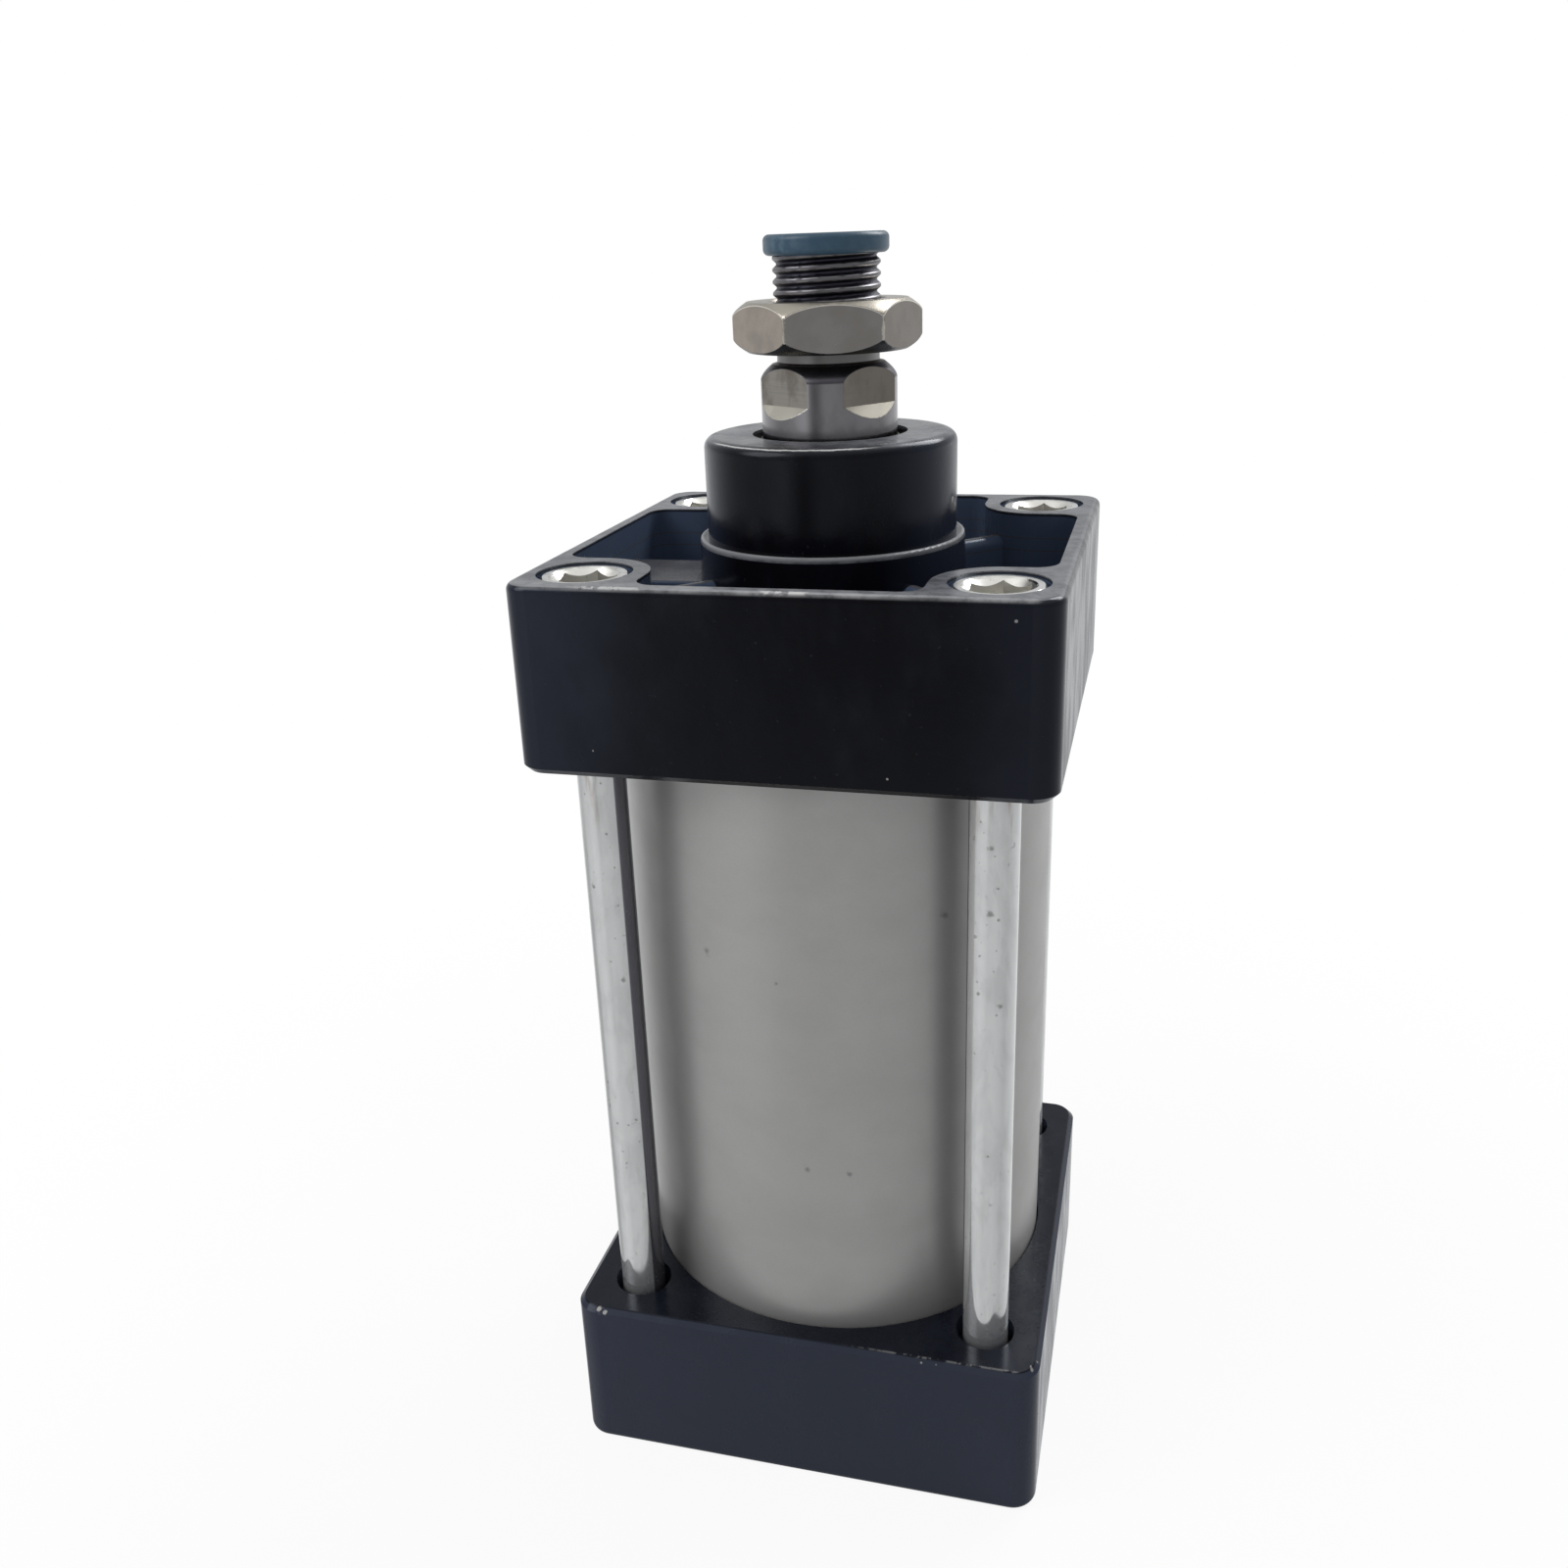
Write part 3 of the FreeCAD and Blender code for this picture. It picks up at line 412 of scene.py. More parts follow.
def tieRodPlating():
    material, tree, shader, place = newMaterial("brightTieRods", Metallic=tieRodFinish["metallic"])
    x, y, z = split(tree, place)
    across, along = aroundTieRods(tree, x, y)
    # the half of each rod that faces the barrel is painted dark slate, painted shade and reflection, its
    # boundary turned a little on the rods at +x
    outward45 = calc(tree, "MULTIPLY", calc(tree, "ADD", across, along), math.sqrt(0.5))
    limit = calc(tree, "ADD", outward45, levels(tree, x, -0.001, 0.001, 0.0, 0.0014))
    inner = levels(tree, limit, -0.0005, -0.0002, 1, 0)
    cloud = levels(tree, grain(tree, place, 5.0, 5.0, (1, 1, 0.4), 0.6, 0.6), 0.38, 0.68)
    streak = levels(tree, grain(tree, place, 2.0, 3.0, (1, 1, 0.12), 0.6, 0.4), 0.5, 0.75)
    pits = levels(tree, grain(tree, place, 1.3, 2.0), 0.66, 0.74)
    patchy = levels(tree, grain(tree, place, 22, 2.0), 0.42, 0.58)
    pits = calc(tree, "MULTIPLY", pits, patchy)
    places = []
    for side, pitsHere in ((1, tieRodFinish["rightPits"]), (-1, tieRodFinish["leftPits"])):
        for index, (degrees, height) in enumerate(pitsHere):
            lean = math.radians(degrees)
            pitX = 1000 * (tieCentre * side + tieRadius * math.sin(lean))
            pitY = -1000 * (tieCentre + tieRadius * math.cos(lean))
            places.append((pitX, pitY, height, 0.28 + 0.16 * (index % 3)))
    marks = spots(tree, place, places, 0.5, 0.2)
    dark = strongest(tree, (calc(tree, "MULTIPLY", pits, 0.5), calc(tree, "MULTIPLY", marks, 0.6)))
    # warm streaks: stains all along the rods, made stronger under the front cover as a painted reflection of
    # the cover's dark underside
    underCover = levels(tree, z, 0.134, 0.150)
    stainAndReflection = calc(tree, "MULTIPLY", streak, calc(tree, "ADD", calc(tree, "MULTIPLY", underCover, 0.6), 0.1))
    smudge = calc(tree, "MULTIPLY", cloud, 0.5)
    tone = mixColours(tree, smudge, tieRodFinish["colour"], tieRodFinish["smudgeColour"])
    tone = mixColours(tree, stainAndReflection, tone, tieRodFinish["stainAndReflectionColour"])
    tone = mixColours(tree, dark, tone, tieRodFinish["pitColour"])
    tone = mixColours(tree, inner, tone, tieRodFinish["innerShadeColour"])
    plug(tree, shader.inputs["Base Color"], tone)
    rough = calc(tree, "ADD", calc(tree, "MULTIPLY", cloud, 0.12), tieRodFinish["roughness"])
    plug(tree, shader.inputs["Roughness"], calc(tree, "ADD", rough, calc(tree, "MULTIPLY", dark, 0.3)))
    bump(tree, shader, grain(tree, place, 2.2, 2.0, (1, 1, 0.2)), 0.006, 0.6)
    return material


finish(tieRodPlating(), "tie_rods")


# Plain metals share one tree: a cloudy tone, fine lines and a few dark specks

def plainMetal(name, colour, roughness, lines=(1, 1, 1), lineSize=0.5, lineDepth=0.004, specks=0.3):
    material, tree, shader, place = newMaterial(name, Metallic=1.0)
    cloud = grain(tree, place, 8, 4.0)
    fine = grain(tree, place, lineSize, 3.0, lines, 0.6)
    speck = calc(tree, "MULTIPLY", levels(tree, grain(tree, place, 0.8, 2.0), 0.68, 0.76), specks)
    tone = mixColours(tree, levels(tree, cloud, 0.35, 0.7), colour, grey(0.8, colour))
    plug(tree, shader.inputs["Base Color"], mixColours(tree, speck, tone, grey(0.06)))
    rough = levels(tree, cloud, 0.3, 0.7, roughness * 0.85, roughness * 1.25)
    plug(tree, shader.inputs["Roughness"], rough)
    bump(tree, shader, fine, lineDepth, 0.6)
    return material


# colour and roughness
metals = {
    "socketNuts": ((0.86, 0.86, 0.835, 1), 0.16),
    "pressedSocket": (0.80, 0.79, 0.75, 1),   # a colour alone, inside the socket nuts
    "screws": ((0.62, 0.62, 0.60, 1), 0.28),
    "piston": ((0.72, 0.72, 0.71, 1), 0.32),
    "bush": ((0.60, 0.42, 0.20, 1), 0.34),
}


def socketNutPlating():
    # the turned faces are bright; the pressed socket is duller and a little green
    material, tree, shader, place = newMaterial("platedSocketNuts", Metallic=1.0)
    x, y, z = split(tree, place)
    across, along = aroundTieRods(tree, x, y)
    radius = fromAxis(tree, across, along)
    inSocket = levels(tree, radius, 0.0059, 0.0061, 1, 0)
    cloud = levels(tree, grain(tree, place, 3.0, 4.0), 0.35, 0.7)
    speck = levels(tree, grain(tree, place, 0.7, 2.0), 0.66, 0.74)
    tone = mixColours(tree, cloud, metals["socketNuts"][0], grey(0.66, (1, 1.01, 0.96)))
    tone = mixColours(tree, inSocket, tone, metals["pressedSocket"])
    tone = mixColours(tree, calc(tree, "MULTIPLY", speck, 0.5), tone, grey(0.12))
    plug(tree, shader.inputs["Base Color"], tone)
    rough = levels(tree, cloud, 0, 1, metals["socketNuts"][1], metals["socketNuts"][1] + 0.1)
    plug(tree, shader.inputs["Roughness"], calc(tree, "ADD", rough, calc(tree, "MULTIPLY", inSocket, 0.15)))
    bump(tree, shader, grain(tree, place, 0.6, 3.0), 0.008, 0.6)
    return material


finish(socketNutPlating(), "front_tie_rod_nuts", "rear_tie_rod_nuts")
finish(plainMetal("turnedScrews", *metals["screws"], lines=(0.1, 1, 0.1)), "rear_cushion_screw",
       "front_cushion_screw", "piston_nut", "rear_cushion_sleeve", "front_cushion_sleeve")
finish(plainMetal("turnedPiston", *metals["piston"], lines=(0.05, 0.05, 1), lineSize=0.35, lineDepth=0.008),
       "rear_piston_half", "front_piston_half")
finish(plainMetal("bronzeBush", *metals["bush"], lines=(0.05, 0.05, 1), specks=0.5), "rod_bush")


# Rubbers, the wear ring and the magnet

def plainMoulding(name, colour, roughness, graininess=0.02, size=0.6, paler=1.6):
    material, tree, shader, place = newMaterial(name, Specular_IOR_Level=0.4)
    cloud = grain(tree, place, 6, 4.0)
    tone = mixColours(tree, levels(tree, cloud, 0.35, 0.7), colour, grey(paler, colour))
    plug(tree, shader.inputs["Base Color"], tone)
    plug(tree, shader.inputs["Roughness"], levels(tree, cloud, 0.3, 0.7, roughness - 0.07, roughness + 0.08))
    bump(tree, shader, grain(tree, place, size, 3.0), graininess, 0.7)
    return material


# colour and roughness
mouldings = {
    "sealRubber": ((0.012, 0.012, 0.013, 1), 0.48),
    "wiperRubber": ((0.02, 0.019, 0.018, 1), 0.55),
    "magnetRubber": ((0.03, 0.028, 0.026, 1), 0.6),
    "wearResin": ((0.16, 0.08, 0.035, 1), 0.45),
}

finish(plainMoulding("sealRubber", *mouldings["sealRubber"]), "rear_tube_gasket", "front_tube_gasket",
       "rear_cushion_seal", "front_cushion_seal", "rod_packing", "rear_screw_o_ring", "front_screw_o_ring",
       "rear_piston_packing", "front_piston_packing", "piston_o_ring")
finish(plainMoulding("wiperRubber", *mouldings["wiperRubber"]), "rod_wiper")
finish(plainMoulding("magnetRubber", *mouldings["magnetRubber"], 0.03, 0.4), "magnet_ring")
finish(plainMoulding("wearResin", *mouldings["wearResin"], 0.02, 0.5, 1.3), "piston_wear_ring")
print("inner pieces finished")


# Blue plastic cap

capFinish = {
    "colour": (0.034, 0.080, 0.128, 1),
    "dusty": (0.085, 0.150, 0.205, 1),
    "roughness": 0.36,
}


def capPlastic():
    material, tree, shader, place = newMaterial("bluePlasticCap", Specular_IOR_Level=0.45)
    x, y, z = split(tree, place)
    side = levels(tree, x, -0.011, 0.001, 1.0, 0.0)
    dustier = calc(tree, "ADD", calc(tree, "MULTIPLY", side, 0.75), 0.15)
    dust = calc(tree, "MULTIPLY", levels(tree, grain(tree, place, 1.6, 4.0), 0.42, 0.66), dustier)
    plug(tree, shader.inputs["Base Color"], mixColours(tree, dust, capFinish["colour"], capFinish["dusty"]))
    rough = capFinish["roughness"]
    plug(tree, shader.inputs["Roughness"], levels(tree, dust, 0, 1, rough, rough + 0.2))
    bump(tree, shader, grain(tree, place, 0.7, 3.0), 0.02, 0.6)
    return material


finish(capPlastic(), "thread_cap")


# Turned bars with flats: a ring is (height, radius, distance of the flats or None), in metres

def link(name, data):
    thing = bpy.data.objects.new(name, data)
    bpy.context.scene.collection.objects.link(thing)
    return thing


def outward(mesh, sharpAngle):
    work = bmesh.new()
    work.from_mesh(mesh)
    bmesh.ops.remove_doubles(work, verts=work.verts, dist=1e-7)
    bmesh.ops.recalc_face_normals(work, faces=work.faces)
    work.to_mesh(mesh)
    work.free()
    mesh.shade_smooth()
    mesh.set_sharp_from_angle(angle=math.radians(sharpAngle))


def facetedBar(name, rings, flatCount, flatAngle, columns, closed=False, sharpAngle=12):
    step = 2 * math.pi / flatCount
    work = bmesh.new()
    rows = []
    for height, radius, flat in rings:
        row = []
        for column in range(columns):
            angle = math.radians(flatAngle) + 2 * math.pi * column / columns
            reach = radius
            if flat is not None:
                turned = (2 * math.pi * column / columns + step / 2) % step - step / 2
                reach = min(radius, flat / math.cos(turned))
            row.append(work.verts.new((reach * math.cos(angle), reach * math.sin(angle), height)))
        rows.append(row)
    pairs = list(zip(rows, rows[1:])) + ([(rows[-1], rows[0])] if closed else [])
    for lower, upper in pairs:
        for column in range(columns):
            after = (column + 1) % columns
            work.faces.new((lower[column], lower[after], upper[after], upper[column]))
    if not closed:
        work.faces.new(rows[0])
        work.faces.new(rows[-1])
    mesh = bpy.data.meshes.new(name)
    work.to_mesh(mesh)
    work.free()
    outward(mesh, sharpAngle)
    return link(name, mesh)


def between(low, high, count):
    return [low + (high - low) * index / count for index in range(count + 1)]


# Piston rod: its heights count from the top of the boss

rodShape = {
    "flatFoot": 0.0032,
    "flatFull": 0.0055,
    "flatDistance": 0.0108,
    "flatAngle": 55.0,
    "coneFoot": 0.0096,
    "coneHead": 0.0124,
    "coneTop": 0.0103,
    "coneCurve": 1.7,         # 1 is a straight cone, more is rounder
    "neck": 0.00935,
    "neckHead": 0.0145,
    "tailRadius": 0.008,      # inside the piston
    "tailLead": 0.0012,
    "columns": 360,
}
rodThread = {
    "pitch": 0.002,
    "crest": 0.0097,
    "root": 0.0090,
    "foot": bossTop + 0.0144,
    "head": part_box("piston_rod")[1][2],
    "columns": 120,
    "rowsPerTurn": 16,
    "rootStart": 0.86,        # from 0 in the middle of the crest to 1 in the middle of the root
    "flankSlope": 1.6,        # more makes steeper flanks and a wider crest
    "crestColour": (0.15, 0.145, 0.16, 1),
    "edgeHighlightColour": (0.36, 0.35, 0.36, 1),
    "valleyShadeColour": (0.05, 0.05, 0.066, 1),
    "roughness": 0.32,
}
rodFinish = {
    "round": (0.285, 0.277, 0.29, 1),
    "polished": (0.62, 0.62, 0.63, 1),
    "flat": (0.41, 0.385, 0.35, 1),
    "flatWarm": (0.25, 0.222, 0.19, 1),
    "flatShade": (0.21, 0.187, 0.16, 1),
    "runOut": (0.50, 0.48, 0.42, 1),
    "runOutShade": (0.27, 0.255, 0.22, 1),
    "cone": (0.13, 0.125, 0.14, 1),
    "neck": (0.22, 0.215, 0.21, 1),
}


def rodSteel():
    material, tree, shader, place = newMaterial("polishedRod", Metallic=1.0)
    x, y, z = split(tree, place)
    radius = fromAxis(tree, x, y)
    rise = calc(tree, "SUBTRACT", z, bossTop)
    cutAway = levels(tree, radius, rodRadius - 0.00003, rodRadius - 0.00001, 1, 0)
    aboveFoot = levels(tree, rise, rodShape["flatFoot"], rodShape["flatFoot"] + 0.0001)
    milledPart = product(tree, cutAway, aboveFoot)
    slope = levels(tree, rise, rodShape["flatFull"] - 0.0001, rodShape["flatFull"], 1, 0)
    share = levels(tree, rise, rodShape["coneFoot"], rodShape["coneHead"], smooth=False)
    bent = calc(tree, "POWER", share, rodShape["coneCurve"])
    fallen = calc(tree, "MULTIPLY", bent, rodRadius - rodShape["coneTop"])
    pastCone = calc(tree, "ADD", calc(tree, "SUBTRACT", radius, rodRadius), fallen)
    onCone = levels(tree, pastCone, -0.00008, -0.00003)
    onCone = product(tree, onCone, levels(tree, rise, rodShape["coneFoot"], rodShape["coneFoot"] + 0.0001))
    smear = levels(tree, grain(tree, place, 3.2, 4.0, (1, 1, 0.6)), 0.42, 0.7)
    milled = grain(tree, place, 0.5, 3.0, (0.03, 0.03, 1), 0.7)
    flatTone = mixColours(tree, smear, rodFinish["flat"], rodFinish["flatWarm"])
    flatTone = mixColours(tree, levels(tree, milled, 0.45, 0.7, 0.0, 0.3), flatTone, grey(0.24))
    # the flats and their run-outs are painted darker towards +x as painted shade, and the run-outs paler than
    # the flats as a painted highlight
    flatTone = mixColours(tree, levels(tree, x, 0.0, 0.008, 0.0, 0.8), flatTone, rodFinish["flatShade"])
    runOut = mixColours(tree, levels(tree, x, -0.004, 0.006), rodFinish["runOut"], rodFinish["runOutShade"])
    flatTone = mixColours(tree, slope, flatTone, runOut)
    roundTone = mixColours(tree, smear, rodFinish["round"], grey(0.26, (1, 0.98, 1.02)))
    roundTone = mixColours(tree, levels(tree, rise, -0.038, -0.001, 1, 0), roundTone, rodFinish["polished"])
    tone = mixColours(tree, milledPart, roundTone, flatTone)
    tone = mixColours(tree, onCone, tone, rodFinish["cone"])
    onNeck = levels(tree, rise, rodShape["coneHead"] + 0.0001, rodShape["coneHead"] + 0.0003)
    tone = mixColours(tree, onNeck, tone, rodFinish["neck"])
    plug(tree, shader.inputs["Base Color"], tone)
    rough = calc(tree, "ADD", calc(tree, "MULTIPLY", smear, 0.08), 0.20)
    plug(tree, shader.inputs["Roughness"], calc(tree, "ADD", rough, calc(tree, "MULTIPLY", milledPart, 0.14)))
    bump(tree, shader, milled, 0.005, 0.5)
    return material


def threadSteel():
    material, tree, shader, place = newMaterial("darkThread", Metallic=1.0)
    x, y, z = split(tree, place)
    radius = fromAxis(tree, x, y)
    onCrest = levels(tree, radius, rodThread["crest"] - 0.00008, rodThread["crest"] - 0.00004)
    onEdge = near(tree, radius, rodThread["crest"] - 0.00012, 0.00007)
    cloud = levels(tree, grain(tree, place, 1.6, 4.0), 0.35, 0.7)
    # the roots are painted dark as painted shade, and the crest's edges bright as painted highlights
    tone = mixColours(tree, onCrest, rodThread["valleyShadeColour"], rodThread["crestColour"])
    edgeHighlight = calc(tree, "MULTIPLY", onEdge, levels(tree, cloud, 0, 1, 0.6, 1.0))
    tone = mixColours(tree, edgeHighlight, tone, rodThread["edgeHighlightColour"])
    plug(tree, shader.inputs["Base Color"], tone)
    rough = rodThread["roughness"]
    plug(tree, shader.inputs["Roughness"], levels(tree, cloud, 0, 1, rough, rough + 0.15))
    bump(tree, shader, grain(tree, place, 0.5, 3.0), 0.01, 0.6)
    return material


def threadTree():
    tree = bpy.data.node_groups.new("helicalThread", "GeometryNodeTree")
    face = tree.interface
    face.new_socket("Geometry", in_out="OUTPUT", socket_type="NodeSocketGeometry")
    sizes = {}
    for name in ("Pitch", "Crest", "Root", "Foot", "Head"):
        sizes[name] = face.new_socket(name, in_out="INPUT", socket_type="NodeSocketFloat").identifier
    for name in ("Columns", "Rows"):
        sizes[name] = face.new_socket(name, in_out="INPUT", socket_type="NodeSocketInt").identifier
    steel = face.new_socket("Material", in_out="INPUT", socket_type="NodeSocketMaterial")
    sizes["Material"] = steel.identifier
    given = tree.nodes.new("NodeGroupInput").outputs
    result = tree.nodes.new("NodeGroupOutput")

    def number(operation, first, second=0.0, third=0.0):
        node = tree.nodes.new("ShaderNodeMath")
        node.operation = operation
        for index, value in enumerate((first, second, third)):
            plug(tree, node.inputs[index], value)
        return node.outputs[0]

    grid = tree.nodes.new("GeometryNodeMeshGrid")
    grid.inputs["Size X"].default_value = 1.0
    grid.inputs["Size Y"].default_value = 1.0
    plug(tree, grid.inputs["Vertices X"], given["Columns"])
    plug(tree, grid.inputs["Vertices Y"], given["Rows"])
    position = tree.nodes.new("GeometryNodeInputPosition")
    parts = tree.nodes.new("ShaderNodeSeparateXYZ")
    tree.links.new(position.outputs[0], parts.inputs[0])
    turn = number("ADD", parts.outputs[0], 0.5)                    # 0 to 1 round the rod
    row = number("MULTIPLY", number("ADD", parts.outputs[1], 0.5), number("SUBTRACT", given["Rows"], 1))
    spread = number("SUBTRACT", given["Rows"], 3)             # the first and the last row close the ends
    share = number("DIVIDE", number("SUBTRACT", row, 1), spread)
    share = number("MINIMUM", number("MAXIMUM", share, 0.0), 1.0)
    height = number("MULTIPLY", share, number("SUBTRACT", given["Head"], given["Foot"]))
    climbed = number("SUBTRACT", number("DIVIDE", height, given["Pitch"]), turn)
    phase = number("FRACT", number("ADD", climbed, 8.0))
    # 1 in the middle of the root, 0 in the middle of the crest
    away = number("MULTIPLY", number("ABSOLUTE", number("SUBTRACT", phase, 0.5)), 2.0)
    flank = number("MULTIPLY", number("SUBTRACT", rodThread["rootStart"], away), rodThread["flankSlope"])
    flank = number("MINIMUM", number("MAXIMUM", flank, 0.0), 1.0)
    deep = number("SUBTRACT", given["Crest"], given["Root"])
    radius = number("ADD", given["Root"], number("MULTIPLY", flank, deep))
    fromHead = number("SUBTRACT", number("SUBTRACT", given["Head"], given["Foot"]), height)
    radius = number("MINIMUM", radius, number("ADD", number("SUBTRACT", given["Root"], 0.0004), fromHead))
    lastRow = number("SUBTRACT", given["Rows"], 1)
    beforeLast = number("LESS_THAN", row, number("SUBTRACT", lastRow, 0.5))
    ends = number("MULTIPLY", number("GREATER_THAN", row, 0.5), beforeLast)
    radius = number("MULTIPLY", radius, ends)
    angle = number("MULTIPLY", turn, 2 * math.pi)
    out = tree.nodes.new("ShaderNodeCombineXYZ")
    plug(tree, out.inputs[0], number("MULTIPLY", radius, number("COSINE", angle)))
    plug(tree, out.inputs[1], number("MULTIPLY", radius, number("SINE", angle)))
    plug(tree, out.inputs[2], number("ADD", given["Foot"], height))
    move = tree.nodes.new("GeometryNodeSetPosition")
    tree.links.new(grid.outputs["Mesh"], move.inputs["Geometry"])
    tree.links.new(out.outputs[0], move.inputs["Position"])
    weld = tree.nodes.new("GeometryNodeMergeByDistance")
    weld.inputs["Distance"].default_value = 1e-6
    tree.links.new(move.outputs[0], weld.inputs["Geometry"])
    real = tree.nodes.new("GeometryNodeRealizeInstances")
    tree.links.new(weld.outputs[0], real.inputs[0])
    dress = tree.nodes.new("GeometryNodeSetMaterial")
    tree.links.new(real.outputs[0], dress.inputs["Geometry"])
    tree.links.new(given["Material"], dress.inputs["Material"])
    tree.links.new(dress.outputs[0], result.inputs[0])
    return tree, sizes


def grown(name, tree, sizes, values):
    # runs a tree on an empty mesh and keeps its result as a plain mesh
    seed = link(name + "Seed", bpy.data.meshes.new(name + "Seed"))
    modifier = seed.modifiers.new("grow", "NODES")
    modifier.node_group = tree
    for key, value in values.items():
        modifier[sizes[key]] = value
    seed.update_tag()
    bpy.context.view_layer.update()
    evaluated = seed.evaluated_get(bpy.context.evaluated_depsgraph_get())
    mesh = bpy.data.meshes.new_from_object(evaluated)
    seed.modifiers.remove(modifier)
    bpy.data.objects.remove(seed)
    mesh.name = name
    return link(name, mesh)


turns = (rodThread["head"] - rodThread["foot"]) / rodThread["pitch"]
tree, sizes = threadTree()
thread = grown("rodThread", tree, sizes, {
    "Pitch": rodThread["pitch"], "Crest": rodThread["crest"], "Root": rodThread["root"],
    "Foot": rodThread["foot"], "Head": rodThread["head"], "Columns": rodThread["columns"] + 1,
    "Rows": int(turns * rodThread["rowsPerTurn"]) + 3, "Material": threadSteel()})
outward(thread.data, 40)

solidRod = nodes["piston_rod"].data
tail = min(point.co.z for point in solidRod.vertices)
ledge = min(point.co.z for point in solidRod.vertices if math.hypot(point.co.x, point.co.y) > 0.012)
flat = rodShape["flatDistance"]
tailRadius = rodShape["tailRadius"]
tailLead = rodShape["tailLead"]
rings = [(tail, tailRadius - tailLead, None), (tail + tailLead, tailRadius, None)]
rings += [(ledge, tailRadius, None), (ledge, rodRadius, None)]
plainHead = bossTop + rodShape["flatFoot"] - 0.0001
rings += [(height, rodRadius, None) for height in between(ledge + 0.001, plainHead, 24)]
for rise in between(rodShape["flatFoot"], rodShape["flatFull"], 24):
    share = (rise - rodShape["flatFoot"]) / (rodShape["flatFull"] - rodShape["flatFoot"])
    rings.append((bossTop + rise, rodRadius, rodRadius + (flat - rodRadius) * share))
for rise in between(rodShape["coneFoot"], rodShape["coneHead"], 28):
    share = (rise - rodShape["coneFoot"]) / (rodShape["coneHead"] - rodShape["coneFoot"])
    reach = rodRadius + (rodShape["coneTop"] - rodRadius) * share ** rodShape["coneCurve"]
    rings.append((bossTop + rise, reach, flat))
rings += [(bossTop + rodShape["coneHead"] + 0.0002, rodShape["neck"] + 0.0002, None),
          (bossTop + rodShape["coneHead"] + 0.0004, rodShape["neck"], None),
          (bossTop + rodShape["neckHead"], rodShape["neck"], None)]
bar = facetedBar("rodBar", rings, 4, rodShape["flatAngle"], rodShape["columns"])
bar.data.materials.append(rodSteel())
for piece in (bar, thread):
    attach(piece, "rod_assembly")
    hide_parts("piston_rod")
print("rod and thread:", len(bar.data.polygons), len(thread.data.polygons), "faces")


# Lock nut: a hexagon between two rounded cones, in metres

lockNut = {
    "low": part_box("rod_lock_nut")[0][2],
    "high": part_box("rod_lock_nut")[1][2],
    "face": 0.0146,
    "flatDistance": 0.015,
    "corner": 0.01722,
    "bore": 0.0099,
    "coneDepth": 0.0024,
    "coneCurve": 1.5,         # 1 is a straight cone, more is rounder
    "turned": 17.0 - 90.0,    # degrees round the axis to the middle of one flat
    "flatColour": (0.33, 0.32, 0.31, 1),
    "leftFlatLightColour": (0.45, 0.395, 0.34, 1),
    "rightFlatShadeColour": (0.21, 0.188, 0.168, 1),
    "upperConeHighlightColour": (0.42, 0.39, 0.335, 1),
    "edgeHighlightColour": (0.90, 0.86, 0.77, 1),
    "cloudColour": (0.30, 0.275, 0.25, 1),
    "scratchColour": (0.14, 0.11, 0.09, 1),
    "scratches": [(13.9, -9.0, 222.6, 0.8), (14.6, -7.6, 221.8, 0.6), (15.2, -6.4, 221.2, 0.5)],   # mm
    "roughness": 0.26,
    "lead": 0.0009,           # the chamfer of the bore
    "columns": 360,
}


